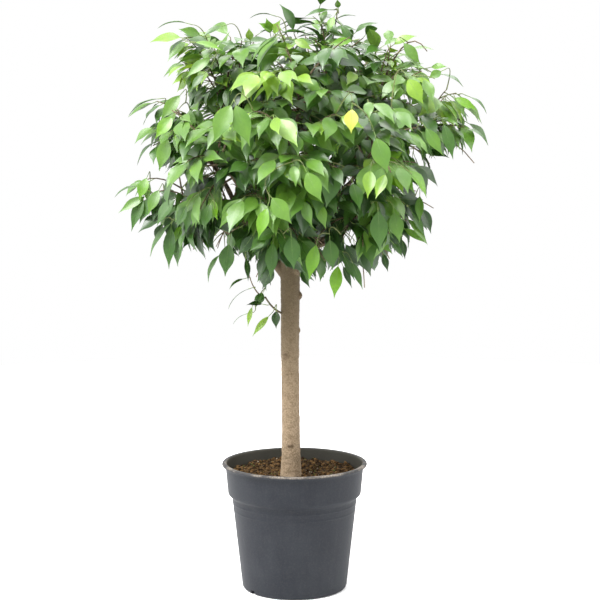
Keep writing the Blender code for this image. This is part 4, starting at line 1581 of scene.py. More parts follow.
SPRIGS: Tuple[Sprig, ...] = (
    Sprig("leader", (0.080, -0.022, 1.096), 0.000, leafless=True),
    Sprig("leader", (0.050, -0.030, 1.066), 0.020, 0.60, 0.75),
    Sprig("leader", (-0.015, -0.030, 1.054), 0.030, 0.50, 0.75, Tint.YOUNG),
    Sprig("leader", (0.020, 0.060, 1.056), 0.030, 0.50, 0.80),
    Sprig("leader", (0.105, -0.020, 1.050), 0.030, 0.50, 0.75),
    Sprig("leader", (0.125, 0.010, 1.036), 0.030, 0.50, 0.80),
    Sprig("leader", (0.000, -0.070, 1.050), 0.030, 0.50, 0.75),
    Sprig("branch_upper_left", (-0.200, -0.020, 1.046), 0.050, 0.50, 0.85),
    Sprig("branch_upper_left", (-0.160, -0.050, 1.042), 0.040, 0.45, 0.85),
    Sprig("branch_upper_left", (-0.120, 0.020, 1.050), 0.040, 0.45, 0.85),
    Sprig("branch_upper_left", (-0.190, -0.030, 1.000), 0.040, 0.45, 0.90),
    Sprig("branch_upper_left", (-0.070, -0.040, 1.050), 0.040, 0.50, 0.80),
    Sprig("branch_upper_left", (-0.095, -0.080, 1.040), 0.040, 0.50, 0.80),
    Sprig("branch_upper_right", (0.243, -0.060, 1.020), 0.145, leafless=True),
    Sprig("branch_upper_right", (0.175, -0.030, 1.028), 0.040, 0.50, 0.80, Tint.YOUNG),
    Sprig("bough_left", (-0.255, -0.030, 0.930), 0.060, 0.60, 0.85),
    Sprig("bough_left", (-0.250, -0.050, 0.885), 0.050, 0.60, 0.85),
    Sprig("bough_right", (0.300, -0.030, 0.945), 0.060, 0.60, 0.85),
    Sprig("bough_right", (0.315, -0.020, 0.895), 0.060, 0.60, 0.85),
    Sprig("bough_right", (0.333, -0.045, 0.816), 0.110, leafless=True),
    Sprig("branch_low_left", (-0.280, -0.040, 0.784), 0.045, 0.80, 0.80),
    Sprig("branch_low_left", (-0.262, -0.050, 0.760), 0.035, 0.75, 0.85),
    Sprig("branch_low_left", (-0.240, -0.050, 0.715), 0.050, 0.60, 0.90),
    Sprig("branch_low_left", (-0.205, -0.060, 0.690), 0.040, 0.70, 0.90),
    Sprig("branch_low_right_front", (0.258, -0.050, 0.733), 0.050, leafless=True),
    Sprig("branch_low_right_front", (0.168, -0.100, 0.628), 0.060, leafless=True),
    Sprig("branch_low_right_front", (0.128, -0.120, 0.592), 0.060, leafless=True),
    Sprig("hanging_shoot", (-0.090, -0.045, 0.636), -0.045, leafless=True),
)


@dataclass(frozen=True)
class SetLeaf:
    """A listed leaf: spots of the front view, and a depth in metres."""

    tint: Tint
    facing: float
    wide: float
    root: Pair
    tip: Pair
    depth: float
    tip_nearer: float = 0.008
    usual_width: float = 0.42
    width_limits: Pair = (0.26, 0.62)
    edge_on_width: float = 0.10

    def ends(self) -> Tuple[Array, Array, float]:
        """Where the leaf starts and ends.

        Returns:
            Root and tip to the millimetre, and the width as a share of the length.
        """
        root, away = VIEW.behind(self.root, self.depth)
        tip, _ = VIEW.behind(self.tip, self.depth - self.tip_nearer)
        share = self.usual_width
        if not self.facing:
            share = self.edge_on_width
        elif self.wide:
            least, most = self.width_limits
            share = self.wide * away / VIEW.focus / float(np.linalg.norm(tip - root))
            share = round(min(most, max(least, share)), 2)
        return np.round(root, 3), np.round(tip, 3), share

    def leaf(self, blade: Blade) -> Leaf:
        """The leaf that lies there, bent so that its tip comes where it should.

        Args:
            blade: The shape of all the leaves.

        Returns:
            The leaf.
        """
        root, tip, share = self.ends()
        chord, reach = unit(tip - root), float(np.linalg.norm(tip - root))
        edge = np.cross((0.0, 1.0, 0.0), chord)
        edge = unit(edge) * (1 if edge[2] >= 0 else -1)
        normal = np.array((-0.15, -1.0, 0.15)) * self.facing + edge * (1 - self.facing)
        normal = unit(normal - chord * (normal @ chord))
        bend = 0.35 + 0.60 * (1 - self.facing)
        ahead, down = blade.run(bend)
        turn = math.atan2(down, ahead)
        along = chord * math.cos(turn) + normal * math.sin(turn)
        length = reach / math.hypot(ahead, down)
        return Leaf(
            stalk_root=root - along * 0.011,
            root=root,
            along=along,
            upper=normal * math.cos(turn) - chord * math.sin(turn),
            length=length,
            width=length * share,
            bend=bend,
            fold=0.16,
            sickle=0.0,
            ripple=0.05,
            phase=reach * 900,
            tint=self.tint,
        )


# The leaves at the edge of the crown.
OUTLINE_LEAVES = (
    SetLeaf(Tint.MID, 0.1, 0, root=(186, 23), tip=(157, 29), depth=-0.06),
    SetLeaf(Tint.SOFT, 0.8, 10, root=(200, 35), tip=(178, 29), depth=-0.09),
    SetLeaf(Tint.DEEP, 0.3, 0, root=(187, 39), tip=(169, 55), depth=-0.09),
    SetLeaf(Tint.MID, 0.6, 7, root=(222, 26), tip=(202, 38), depth=-0.1),
    SetLeaf(Tint.FRESH, 0.5, 7, root=(195, 42), tip=(224, 52), depth=-0.15),
    SetLeaf(Tint.SOFT, 0.8, 11, root=(211, 58), tip=(185, 79), depth=-0.14),
    SetLeaf(Tint.MID, 0.8, 8, root=(204, 74), tip=(190, 91), depth=-0.12),
    SetLeaf(Tint.YOUNG, 0.9, 9, root=(250, 40), tip=(249, 28), depth=-0.08),
    SetLeaf(Tint.MID, 0.08, 0, root=(271, 15), tip=(249, 19), depth=-0.03),
    SetLeaf(Tint.FRESH, 0.7, 7, root=(272, 31), tip=(258, 23), depth=-0.06),
    SetLeaf(Tint.FRESH, 0.8, 9, root=(270, 33), tip=(266, 18), depth=-0.06),
    SetLeaf(Tint.YOUNG, 0.8, 8, root=(274, 34), tip=(281, 19), depth=-0.07),
    SetLeaf(Tint.DEEP, 0.15, 0, root=(316, 24), tip=(293, 34), depth=-0.07),
    SetLeaf(Tint.MID, 0.5, 7, root=(329, 10), tip=(304, 17), depth=-0.03),
    SetLeaf(Tint.SOFT, 0.9, 6, root=(338, 8), tip=(337, -1), depth=-0.02),
    SetLeaf(Tint.MID, 0.12, 0, root=(334, 21), tip=(357, 16), depth=-0.03),
    SetLeaf(Tint.FRESH, 0.8, 8, root=(334, 17), tip=(327, 33), depth=-0.05),
    SetLeaf(Tint.MID, 0.8, 8, root=(341, 25), tip=(353, 45), depth=-0.05),
    SetLeaf(Tint.FRESH, 0.8, 9, root=(352, 40), tip=(328, 45), depth=-0.14),
    SetLeaf(Tint.YOUNG, 0.8, 9, root=(294, 40), tip=(313, 50), depth=-0.15),
    SetLeaf(Tint.SOFT, 0.9, 11, root=(404, 43), tip=(421, 65), depth=-0.06),
    SetLeaf(Tint.FRESH, 0.6, 8, root=(431, 67), tip=(447, 67), depth=-0.04),
    SetLeaf(Tint.SOFT, 0.9, 9, root=(441, 71), tip=(428, 79), depth=-0.06),
    SetLeaf(Tint.MID, 0.25, 0, root=(441, 74), tip=(464, 88), depth=-0.05),
    SetLeaf(Tint.FRESH, 0.8, 9, root=(455, 98), tip=(478, 111), depth=-0.05),
    SetLeaf(Tint.MID, 0.25, 0, root=(470, 97), tip=(487, 114), depth=-0.03),
    SetLeaf(Tint.MID, 0.8, 12, root=(444, 124), tip=(453, 160), depth=-0.1),
    SetLeaf(Tint.SOFT, 0.9, 12, root=(426, 128), tip=(443, 156), depth=-0.13),
    SetLeaf(Tint.MID, 0.25, 0, root=(466, 129), tip=(487, 142), depth=-0.04),
    SetLeaf(Tint.SOFT, 0.9, 9, root=(420, 196), tip=(420, 223), depth=-0.12),
    SetLeaf(Tint.SOFT, 0.9, 15, root=(394, 212), tip=(400, 243), depth=-0.2),
    SetLeaf(Tint.SOFT, 0.6, 7, root=(408, 219), tip=(428, 246), depth=-0.12),
    SetLeaf(Tint.MID, 0.9, 18, root=(378, 211), tip=(380, 252), depth=-0.22),
    SetLeaf(Tint.MID, 0.8, 8, root=(344, 257), tip=(355, 281), depth=-0.15),
    SetLeaf(Tint.FRESH, 0.95, 13, root=(338, 266), tip=(334, 299), depth=-0.19),
    SetLeaf(Tint.MID, 0.95, 16, root=(330, 240), tip=(333, 270), depth=-0.21),
    SetLeaf(Tint.FRESH, 0.95, 14, root=(316, 245), tip=(309, 281), depth=-0.22),
    SetLeaf(Tint.MID, 0.95, 17, root=(291, 236), tip=(294, 270), depth=-0.23),
    SetLeaf(Tint.MID, 0.95, 13, root=(273, 243), tip=(271, 280), depth=-0.2),
    SetLeaf(Tint.MID, 0.95, 16, root=(229, 244), tip=(225, 277), depth=-0.15),
    SetLeaf(Tint.MID, 0.3, 0, root=(220, 255), tip=(208, 283), depth=-0.12),
    SetLeaf(Tint.MID, 0.95, 13, root=(171, 227), tip=(169, 270), depth=-0.06),
    SetLeaf(Tint.MID, 0.4, 6, root=(171, 223), tip=(150, 258), depth=-0.06),
    SetLeaf(Tint.SOFT, 0.9, 12, root=(159, 190), tip=(148, 215), depth=-0.06),
    SetLeaf(Tint.MID, 0.9, 12, root=(143, 197), tip=(131, 232), depth=-0.05),
    SetLeaf(Tint.FRESH, 0.9, 12, root=(147, 178), tip=(139, 201), depth=-0.05),
    SetLeaf(Tint.SOFT, 0.8, 10, root=(145, 197), tip=(118, 213), depth=-0.05),
    SetLeaf(Tint.MID, 0.15, 0, root=(137, 186), tip=(114, 198), depth=-0.05),
    SetLeaf(Tint.MID, 0.12, 0, root=(158, 99), tip=(128, 117), depth=-0.04),
    SetLeaf(Tint.SOFT, 0.95, 13, root=(180, 95), tip=(160, 121), depth=-0.09),
    SetLeaf(Tint.FRESH, 0.9, 14, root=(172, 117), tip=(155, 139), depth=-0.11),
    SetLeaf(Tint.SOFT, 0.95, 15, root=(168, 139), tip=(159, 172), depth=-0.1),
    SetLeaf(Tint.MID, 0.2, 0, root=(157, 141), tip=(137, 166), depth=-0.05),
)

# The large leaves that face the front.
FRONT_LEAVES = (
    SetLeaf(Tint.SOFT, 0.95, 20, root=(231, 105), tip=(213, 143), depth=-0.315),
    SetLeaf(Tint.SOFT, 0.95, 19, root=(236, 105), tip=(250, 147), depth=-0.315),
    SetLeaf(Tint.YELLOW, 0.95, 15, root=(352, 109), tip=(351, 134), depth=-0.32),
    SetLeaf(Tint.SOFT, 0.95, 17, root=(307, 172), tip=(322, 202), depth=-0.325),
    SetLeaf(Tint.SOFT, 0.95, 17, root=(272, 198), tip=(292, 224), depth=-0.32),
    SetLeaf(Tint.FRESH, 0.95, 13, root=(267, 208), tip=(258, 240), depth=-0.325),
    SetLeaf(Tint.SOFT, 0.95, 19, root=(376, 138), tip=(388, 174), depth=-0.3),
    SetLeaf(Tint.YOUNG, 0.95, 16, root=(408, 79), tip=(424, 105), depth=-0.24),
)

# Those of the hanging shoot and of the low right edge.
SHOOT_AND_FRINGE_LEAVES = (
    SetLeaf(Tint.DEEP, 0.7, 5, root=(246, 258), tip=(248, 282), depth=-0.045),
    SetLeaf(Tint.MID, 0.25, 0, root=(244, 279), tip=(229, 290), depth=-0.045),
    SetLeaf(Tint.MID, 0.9, 11, root=(263, 293), tip=(256, 307), depth=-0.04),
    SetLeaf(Tint.DEEP, 0.5, 6, root=(262, 304), tip=(246, 305), depth=-0.05),
    SetLeaf(Tint.YOUNG, 0.8, 5, root=(252, 307), tip=(248, 327), depth=-0.045),
    SetLeaf(Tint.YOUNG, 0.8, 6, root=(269, 316), tip=(252, 337), depth=-0.04),
    SetLeaf(Tint.DEEP, 0.9, 9, root=(276, 311), tip=(276, 329), depth=-0.04),
    SetLeaf(Tint.DEEP, 0.8, 7, root=(402, 240), tip=(405, 260), depth=-0.1),
    SetLeaf(Tint.MID, 0.7, 6, root=(393, 243), tip=(403, 258), depth=-0.14),
    SetLeaf(Tint.DEEP, 0.8, 7, root=(383, 254), tip=(388, 272), depth=-0.12),
    SetLeaf(Tint.MID, 0.8, 7, root=(352, 262), tip=(363, 290), depth=-0.16),
    SetLeaf(Tint.DEEP, 0.8, 6, root=(343, 266), tip=(352, 289), depth=-0.15),
    SetLeaf(Tint.SOFT, 0.8, 6, root=(404, 228), tip=(427, 244), depth=-0.1),
    SetLeaf(Tint.MID, 0.7, 7, root=(412, 212), tip=(425, 238), depth=-0.12),
    SetLeaf(Tint.DEEP, 0.0, 2, root=(249, 289), tip=(228, 310), depth=-0.045),
    SetLeaf(Tint.MID, 0.0, 2, root=(247, 314), tip=(233, 325), depth=-0.045),
)

SET_LEAVES = OUTLINE_LEAVES + FRONT_LEAVES + SHOOT_AND_FRINGE_LEAVES


@dataclass(frozen=True)
class SkyGap:
    """A gap of the crown that stays open, at a spot of the front view."""

    spot: Pair
    radius: float


SKY_GAPS = (
    SkyGap(spot=(180, 187), radius=0.007),
    SkyGap(spot=(181, 107), radius=0.007),
    SkyGap(spot=(210, 84), radius=0.005),
    SkyGap(spot=(211, 171), radius=0.006),
    SkyGap(spot=(231, 184), radius=0.006),
    SkyGap(spot=(228, 194), radius=0.004),
    SkyGap(spot=(221, 238), radius=0.006),
    SkyGap(spot=(320, 244), radius=0.004),
    SkyGap(spot=(350, 239), radius=0.006),
    SkyGap(spot=(349, 182), radius=0.003),
    SkyGap(spot=(414, 153), radius=0.004),
    SkyGap(spot=(449, 94), radius=0.008),
)


class Sight:
    """What is in plain sight from the front, which no leaf may grow before."""

    def __init__(self, step: float = 0.0012) -> None:
        """Starts with nothing kept free.

        Args:
            step: The cells' width.
        """
        self.step = step
        self.nearest: Dict[Tuple[int, int], float] = {}

    def cells(self, points: Array) -> Tuple[Array, Array]:
        """The cells of the view that points fall in, and how far off they are.

        Args:
            points: The points, a row each.

        Returns:
            The cells and the distances.
        """
        offset = np.asarray(points, float) - VIEW.eye
        away = offset[:, 1]
        return np.floor(offset[:, [0, 2]] / away[:, None] / self.step).astype(int), away

    def keep(self, points: Array, clear_through: bool = False) -> None:
        """Keeps the view to these points free, or the view right through them.

        Args:
            points: The points, a row each.
            clear_through: Whether the view past them stays free too.
        """
        cells, away = self.cells(points)
        for (across, up), distance in zip(cells, away):
            for beside in (-1, 0, 1):
                for above in (-1, 0, 1):
                    cell = (across + beside, up + above)
                    far = 99.0 if clear_through else float(distance)
                    self.nearest[cell] = max(self.nearest.get(cell, 0.0), far)

    def hidden_by(self, points: Array) -> bool:
        """Whether a leaf with these points would be in the way.

        Args:
            points: The points, a row each.

        Returns:
            Whether it would be.
        """
        cells, away = self.cells(points)
        return any(
            distance < self.nearest.get((across, up), 0.0) - 0.001
            for (across, up), distance in zip(map(tuple, cells), away)
        )


class Room:
    """The room that one mass keeps to: about its own middle, and clear of wood."""

    def __init__(
        self, name: str, masses: Dict[str, Tuple[Array, float]], wood: Sequence[Limb]
    ) -> None:
        """Starts the space that one mass may fill.

        Args:
            name: The mass's name.
            masses: Every mass, by name.
            wood: The limbs.
        """
        self.middle, self.reach = masses[name]
        others = np.array([middle for other, (middle, _) in masses.items() if other != name])
        apart = others - self.middle
        self.away = units(apart)
        self.halfway = np.linalg.norm(apart, axis=1) / 2
        taken = [limb.samples() for limb in wood]
        points = np.concatenate([p for p, _ in taken])
        radii = np.concatenate([r for _, r in taken])
        close = np.linalg.norm(points - self.middle, axis=1) < self.reach + 0.12
        self.wood, self.wood_radii = points[close], radii[close]

    def holds(self, points: Array, over: float, past: float, clear: float) -> bool:
        """Whether all the points lie in this room.

        Args:
            points: The points to test.
            over: How far they may pass the mass's reach.
            past: How far they may pass the plane halfway to another mass.
            clear: How far they keep from wood.

        Returns:
            True if they do.
        """
        offset = points - self.middle
        if np.linalg.norm(offset, axis=1).max() > self.reach + over:
            return False
        if (offset @ self.away.T > self.halfway + past).any():
            return False
        return self.off_wood(points, clear)

    def off_wood(self, points: Array, clear: float) -> bool:
        """Whether the points keep this far from wood."""
        apart = np.linalg.norm(points[:, None] - self.wood[None], axis=2)
        return bool((apart > self.wood_radii + clear).all())


class Crowding:
    """Points on the leaves that have grown, which new leaves keep off."""

    def __init__(self) -> None:
        """Starts with no leaves."""
        self.points = np.empty((0, 3))
        self.near = np.empty((0, 3))

    def focus(self, middle: Array, reach: float) -> None:
        """Looks from now on only at what is close to a mass."""
        apart = np.linalg.norm(self.points - middle, axis=1)
        self.near = self.points[apart < reach + 0.06]

    def free(self, points: Array, gap: float) -> bool:
        """Whether the points keep this far from every leaf.

        Args:
            points: The points, a row each.
            gap: The distance to keep.

        Returns:
            Whether they do.
        """
        if not len(self.near):
            return True
        apart = (points**2).sum(1)[:, None] + (self.near**2).sum(1) - 2 * points @ self.near.T
        return bool(apart.min() > gap * gap)

    def add(self, points: Array) -> None:
        """Takes in one more leaf."""
        self.points = np.concatenate([self.points, points])
        self.near = np.concatenate([self.near, points])


@dataclass
class Crown:
    """All the masses of foliage: twigs that branch by a seeded rule, and their leaves."""

    plan: CrownPlan
    wood: Wood
    blade: Blade = field(default_factory=Blade)
    seed: int = 1
    crown_foot: float = 0.70
    crown_top: float = 1.02
    crown_low: float = 0.67
    lift: float = 0.8
    towards_light: Point = (-0.15, -0.45, 0.25)
    turned: float = 0.75
    twigs: int = 15
    twig_spread: float = 118.0
    twig_reach: Pair = (0.55, 0.90)
    twig_radius: float = 0.0021
    carrier_radius: float = 0.0012
    twig_points: int = 10
    droop: Pair = (0.25, 0.95)
    shoots: int = 3
    shoot_reach: Pair = (0.30, 0.50)
    spacing: float = 0.0120
    leaf_length: Pair = (0.042, 0.074)
    leaf_width: Pair = (0.39, 0.49)
    stalk: float = 0.012
    leaf_fall: Pair = (0.75, 1.45)
    over: float = 0.006
    past: float = 0.018
    gap: float = 0.0038
    ragged: Pair = (-0.020, 0.022)
    sprig_light: Point = (-0.15, -1.10, 0.35)
    leaf_tries: int = 22

    def __post_init__(self) -> None:
        """Starts with the limbs alone, and with the random draws at their seed."""
        self.chance = random.Random(self.seed)
        self.masses = self.plan.masses()
        self.all_twigs: List[Twig] = []
        self.leaves: List[Leaf] = []
        self.sprays = 0
        self.crowding = Crowding()
        self.sight = Sight()

    def clear_view(self) -> None:
        """Keeps the trunk's head in sight, and the gaps where the sky shows."""
        (left, front, low), (right, _, high) = self.plan.head
        across = np.arange(left, right, 0.003)
        for height in np.arange(low, high, 0.003):
            self.sight.keep([(x, front, height) for x in across])
        for gap in SKY_GAPS:
            middle, _ = VIEW.behind(gap.spot, 0.0)
            ring = [middle + (r * math.cos(a), 0.0, r * math.sin(a))
                    for r in (0.0, gap.radius / 2, gap.radius) for a in np.arange(0, 6.28, 0.52)]
            self.sight.keep(ring, clear_through=True)

    def set_by_hand(self) -> List[Leaf]:
        """Places the listed leaves, which stay in sight.

        Returns:
            The leaves.
        """
        made = [wanted.leaf(self.blade) for wanted in SET_LEAVES]
        for leaf in made:
            self.crowding.add(self.blade.samples(leaf))
            shares = np.linspace(0.0, 1.0, 20)
            points, side, _, half = self.blade.frames([leaf], shares)
            for across in (-1.0, -0.5, 0.0, 0.5, 1.0):
                self.sight.keep(points[0] + side[0] * half[0][:, None] * across)
        self.leaves += made
        return made

    def carry(self, leaf: Leaf) -> None:
        """Grows the thin twig that a listed leaf hangs on, from the nearest wood.

        Args:
            leaf: The leaf.
        """
        wood = [twig.points for twig in self.all_twigs]
        wood = np.concatenate(wood + [limb.points for limb in self.wood.limbs.values()])
        apart = np.linalg.norm(wood - leaf.stalk_root, axis=1)
        start, end, reach = wood[np.argmin(apart)], leaf.stalk_root, float(apart.min())
        bend = end - leaf.along * reach * 0.5 + UP * reach * 0.1
        shares = np.linspace(0, 1, self.twig_points)[:, None]
        points = start * (1 - shares) ** 2 + bend * 2 * shares * (1 - shares) + end * shares**2
        self.all_twigs.append(Twig(points, self.carrier_radius, 0, 1.0))

    def outward_of(self, point: Array) -> Array:
        """Direction away from the crown's foot."""
        return unit(point - (0.0, 0.0, self.crown_foot))

    def lowness(self, height: float) -> float:
        """0 at the crown's top, 1 at its bottom."""
        return min(1.0, max(0.0, (self.crown_top - height) / (self.crown_top - self.crown_low)))

    def curve(self, root: Array, heading: Array, length: float, droop: float) -> Array:
        """The points of a twig that sets off straight and then hangs over.

        Args:
            root: Where it starts.
            heading: The direction that it sets off in.
            length: Its length.
            droop: How far it hangs over.

        Returns:
            The points, a row each.
        """
        steps = self.twig_points - 1
        points = [root]
        sway = np.array([self.chance.uniform(-0.25, 0.25) for _ in range(3)])
        for step in range(steps):
            share = (step + 0.5) / steps
            ahead = unit(heading - UP * droop * share**1.3 + sway * share)
            points.append(points[-1] + ahead * length / steps)
        return np.array(points)

    def grow_mass(self, plan: LimbPlan) -> None:
        """Grows the stem, twigs, shoots and leaves of one mass.

        Args:
            plan: The limb's plan.
        """
        middle, reach = self.masses[plan.mass]
        limb = self.wood.limbs[plan.name]
        start, heading, radius = limb.at(1.0)
        others = [other for other in self.wood.limbs.values() if other is not limb]
        room = Room(plan.mass, self.masses, others)
        self.crowding.focus(middle, reach)
        mass_twigs = [self.stem(start - heading * 0.004, heading, middle, radius)]
        outward = unit(self.outward_of(middle) + UP * self.lift)
        side = unit(np.cross(outward, (0.2, 0.1, 1.0)))
        over = np.cross(side, outward)
        for index in range(self.twigs):
            share = (index + 0.5) / self.twigs
            tilt = math.radians(self.twig_spread) * math.sqrt(share)
            root, _ = mass_twigs[0].at(1 - 0.75 * share)
            for attempt in range(8):
                turn = index * GOLDEN_ANGLE + self.chance.uniform(-0.5, 0.5)
                around = side * math.cos(turn) + over * math.sin(turn)
                heading = outward * math.cos(tilt) + around * math.sin(tilt)
                length = reach * self.chance.uniform(*self.twig_reach) * (1 - 0.05 * attempt)
                low = self.lowness(root[2])
                droop = self.droop[0] + (self.droop[1] - self.droop[0]) * low
                points = self.curve(root, heading, length, droop * self.chance.uniform(0.7, 1.3))
                if self.open_to(points[3:], room):
                    self.sprays += 1
                    mass_twigs.append(Twig(points, self.twig_radius, self.sprays, 0.18))
                    break
        for twig in mass_twigs[1:]:
            mass_twigs += self.side_shoots(twig, room)
        for twig in mass_twigs:
            self.grow_leaves(twig, room, 1.0)
        self.all_twigs += mass_twigs

    def stem(self, start: Array, heading: Array, middle: Array, radius: float) -> Twig:
        """The stem that a mass grows round, on from its limb's tip.

        Args:
            start: Where it starts.
            heading: The direction that it sets off in.
            middle: The middle of the mass.
            radius: Its radius at the start.

        Returns:
            The stem.
        """
        bend = start + heading * np.linalg.norm(middle - start) * 0.4
        shares = np.linspace(0, 1, self.twig_points)[:, None]
        points = start * (1 - shares) ** 2 + bend * 2 * shares * (1 - shares) + middle * shares**2
        self.sprays += 1
        return Twig(points, radius * 1.02, self.sprays, 0.45)

    def side_shoots(self, twig: Twig, room: Room) -> List[Twig]:
        """The short shoots that a twig sends out to either side.

        Args:
            twig: The twig.
            room: The space that the mass may fill.

        Returns:
            The shoots.
        """
        grown = []
        for index in range(self.shoots):
            root, heading = twig.at(0.25 + 0.5 * (index + self.chance.random() * 0.5) / self.shoots)
            across = unit(np.cross(heading, (0.05, 0.02, 1.0))) * (1 if index % 2 else -1)
            ahead = unit(heading * 0.8 + across + self.outward_of(root) * 0.3)
            length = twig.length() * self.chance.uniform(*self.shoot_reach)
            points = self.curve(root, ahead, length, 0.4 + 0.5 * self.lowness(root[2]))
            if self.open_to(points[3:], room):
                grown.append(Twig(points, twig.radius * 0.62, twig.spray, 0.25))
        return grown

    def open_to(self, points: Array, room: Room) -> bool:
        """Whether a twig may run through these points."""
        return room.holds(points, -0.012, self.past, 0.004) and self.plan.within(points, -0.006)

    def grow_sprig(self, sprig: Sprig) -> None:
        """Grows one of the listed twigs.

        Args:
            sprig: The twig's row.
        """
        limb = self.wood.limbs[sprig.limb]
        root, heading, radius = limb.at(0.97)
        tip = np.array(sprig.tip)
        self.crowding.focus(tip, 0.15)
        bend = (root + tip) / 2 + heading * 0.02 + UP * sprig.arch
        shares = np.linspace(0, 1, self.twig_points)[:, None]
        points = root * (1 - shares) ** 2 + bend * 2 * shares * (1 - shares) + tip * shares**2
        self.sprays += 1
        twig = Twig(points, min(radius, self.twig_radius), self.sprays, sprig.bare, sprig.tint)
        if not sprig.leafless:
            self.grow_leaves(twig, None, sprig.size)
        self.all_twigs.append(twig)

    def grow_leaves(self, twig: Twig, room: Optional[Room], scale: float) -> None:
        """Grows leaves from side to side along a twig, and one at its tip.

        Args:
            twig: The twig.
            room: The space that the mass may fill.
            scale: A factor on the leaves' size.
        """
        length = twig.length()
        count = round(length * (1 - twig.bare) / (self.spacing * (0.6 + 0.4 * scale)))
        side = 1 if self.chance.random() < 0.5 else -1
        for slot in range(count):
            share = twig.bare + (1 - twig.bare) * (slot + self.chance.uniform(-0.2, 0.2)) / count
            root, heading = twig.at(min(0.98, max(0.05, share)))
            self.grow_leaf(root, heading, side, room, scale, twig)
            side = -side
        root, heading = twig.at(1.0)
        self.grow_leaf(root - heading * 0.001, heading, 0, room, scale, twig)

    def grow_leaf(
        self,
        root: Array,
        heading: Array,
        side: int,
        room: Optional[Room],
        scale: float,
        twig: Twig,
    ) -> bool:
        """Adds a leaf, turned until it keeps to its room, or else leaves it out.

        Args:
            root: Where its stalk meets the twig.
            heading: The twig's direction there.
            side: The side of the twig that it grows to, or 0 at the tip.
            room: The room that it keeps to, if any.
            scale: Its size against the crown's leaves.
            twig: The twig that carries it.

        Returns:
            True if it was added.
        """
        chance = self.chance
        outward = self.outward_of(root)
        across = unit(np.cross(heading, (0.05, 0.02, 1.0)))
        low = self.lowness(root[2])
        hang = 0.55 + 0.45 * low if room else 0.85
        for attempt in range(self.leaf_tries):
            wander = 0.2 + 0.8 * attempt / self.leaf_tries
            jitter = np.array([chance.uniform(-wander, wander) for _ in range(3)])
            fall = chance.uniform(*self.leaf_fall) * hang if side else 0.25 + 0.5 * hang
            lean = heading * (0.5 if side else 1.0) + across * side * 0.6 + outward * 0.25
            lean = unit(lean - UP * fall + jitter)
            turn = np.array([chance.uniform(-self.turned, self.turned) for _ in range(3)])
            upper = outward + UP * 0.5 * (1 - low) + turn
            upper = upper + (self.towards_light if room else self.sprig_light)
            upper = unit(np.cross(lean, np.cross(upper, lean)))
            length = chance.uniform(*self.leaf_length) * scale
            stalk = self.stalk * (0.6 + 0.4 * scale) * chance.uniform(0.8, 1.2)
            leaf = Leaf(
                stalk_root=root,
                root=root + unit(lean + across * side * 0.3) * stalk,
                along=lean,
                upper=upper,
                length=length,
                width=length * chance.uniform(*self.leaf_width),
                bend=chance.uniform(0.25, 0.85) * (1.15 - 0.5 * low),
                fold=chance.uniform(0.08, 0.34),
                sickle=chance.uniform(-0.05, 0.05),
                ripple=chance.uniform(0.02, 0.09),
                phase=chance.uniform(0, 6.28),
            )
            points = self.blade.samples(leaf)
            if room and not room.holds(points, self.over, self.past, 0.002):
                continue
            if room and not self.plan.within(points, chance.uniform(*self.ragged)):
                continue
            if self.sight.hidden_by(points) or not self.crowding.free(points[2:], self.gap):
                continue
            self.crowding.add(points)
            leaf.tint = self.tint_of(leaf, twig)
            self.leaves.append(leaf)
            return True
        return False

    def tint_of(self, leaf: Leaf, twig: Twig) -> Tint:
        """The green that a leaf's spray has, lighter high up and at shoots' ends.

        Args:
            leaf: The leaf.
            twig: The twig that carries it.

        Returns:
            The tint.
        """
        if twig.tint:
            return twig.tint
        spray = random.Random(twig.spray * 7 + 3)
        spray.random()
        if self.chance.random() < 0.012:
            return Tint.FRESH
        height = 1 - self.lowness(leaf.root[2])
        spread = math.hypot(leaf.root[0] / 0.33, leaf.root[1] / 0.31)
        light = 0.06 + 0.38 * height + 0.28 * min(spread, 1.1) + spray.uniform(-0.24, 0.24)
        light += self.chance.uniform(-0.12, 0.12)
        if light < 0.26:
            return Tint.DEEP
        if light < 0.50:
            return Tint.MID
        return Tint.SOFT if light < 0.74 else Tint.YOUNG

    def build_leaves(self) -> None:
        """Joins the leaves of each tint into one piece, and all their ribs and stalks."""
        for tint in Tint:
            group = [leaf for leaf in self.leaves if leaf.tint is tint]
            if not group:
                continue
            name = f"leaves_{tint.name.lower()}"
            shape = Shape()
            self.blade.add_blades(group, shape)
            upper, under = LeafGloss(tint), LeafGloss(tint, under=True, shine=0.5)
            mesh = shape.mesh(name, 70)
            self.stand_in(place(name, mesh, "foliage", upper.material(), under.material()))
        ribs = Shape()
        self.blade.add_ribs(self.leaves, ribs)
        finish = TwigBark("leaf_rib", (0.150, 0.260, 0.070), (0.230, 0.360, 0.110), 0.45)
        place("leaf_ribs", ribs.mesh("leaf_ribs"), "foliage", finish.material())
        stalks = Shape()
        shares = np.linspace(0, 1, 5)[:, None]
        first = np.array([leaf.stalk_root for leaf in self.leaves])[:, None]
        last = np.array([leaf.root + leaf.along * 0.002 for leaf in self.leaves])[:, None]
        along = np.array([leaf.along for leaf in self.leaves])[:, None]
        bend = last - along * np.linalg.norm(last - first, axis=2, keepdims=True) * 0.5
        paths = first * (1 - shares) ** 2 + bend * 2 * shares * (1 - shares) + last * shares**2
        radii = np.broadcast_to(np.linspace(0.00075, 0.0006, 5), paths.shape[:2])
        tubes(paths, radii, 4, stalks)
        finish = TwigBark("leaf_stalk", (0.130, 0.230, 0.050), (0.240, 0.330, 0.090))
        place("leaf_stalks", stalks.mesh("leaf_stalks"), "foliage", finish.material())

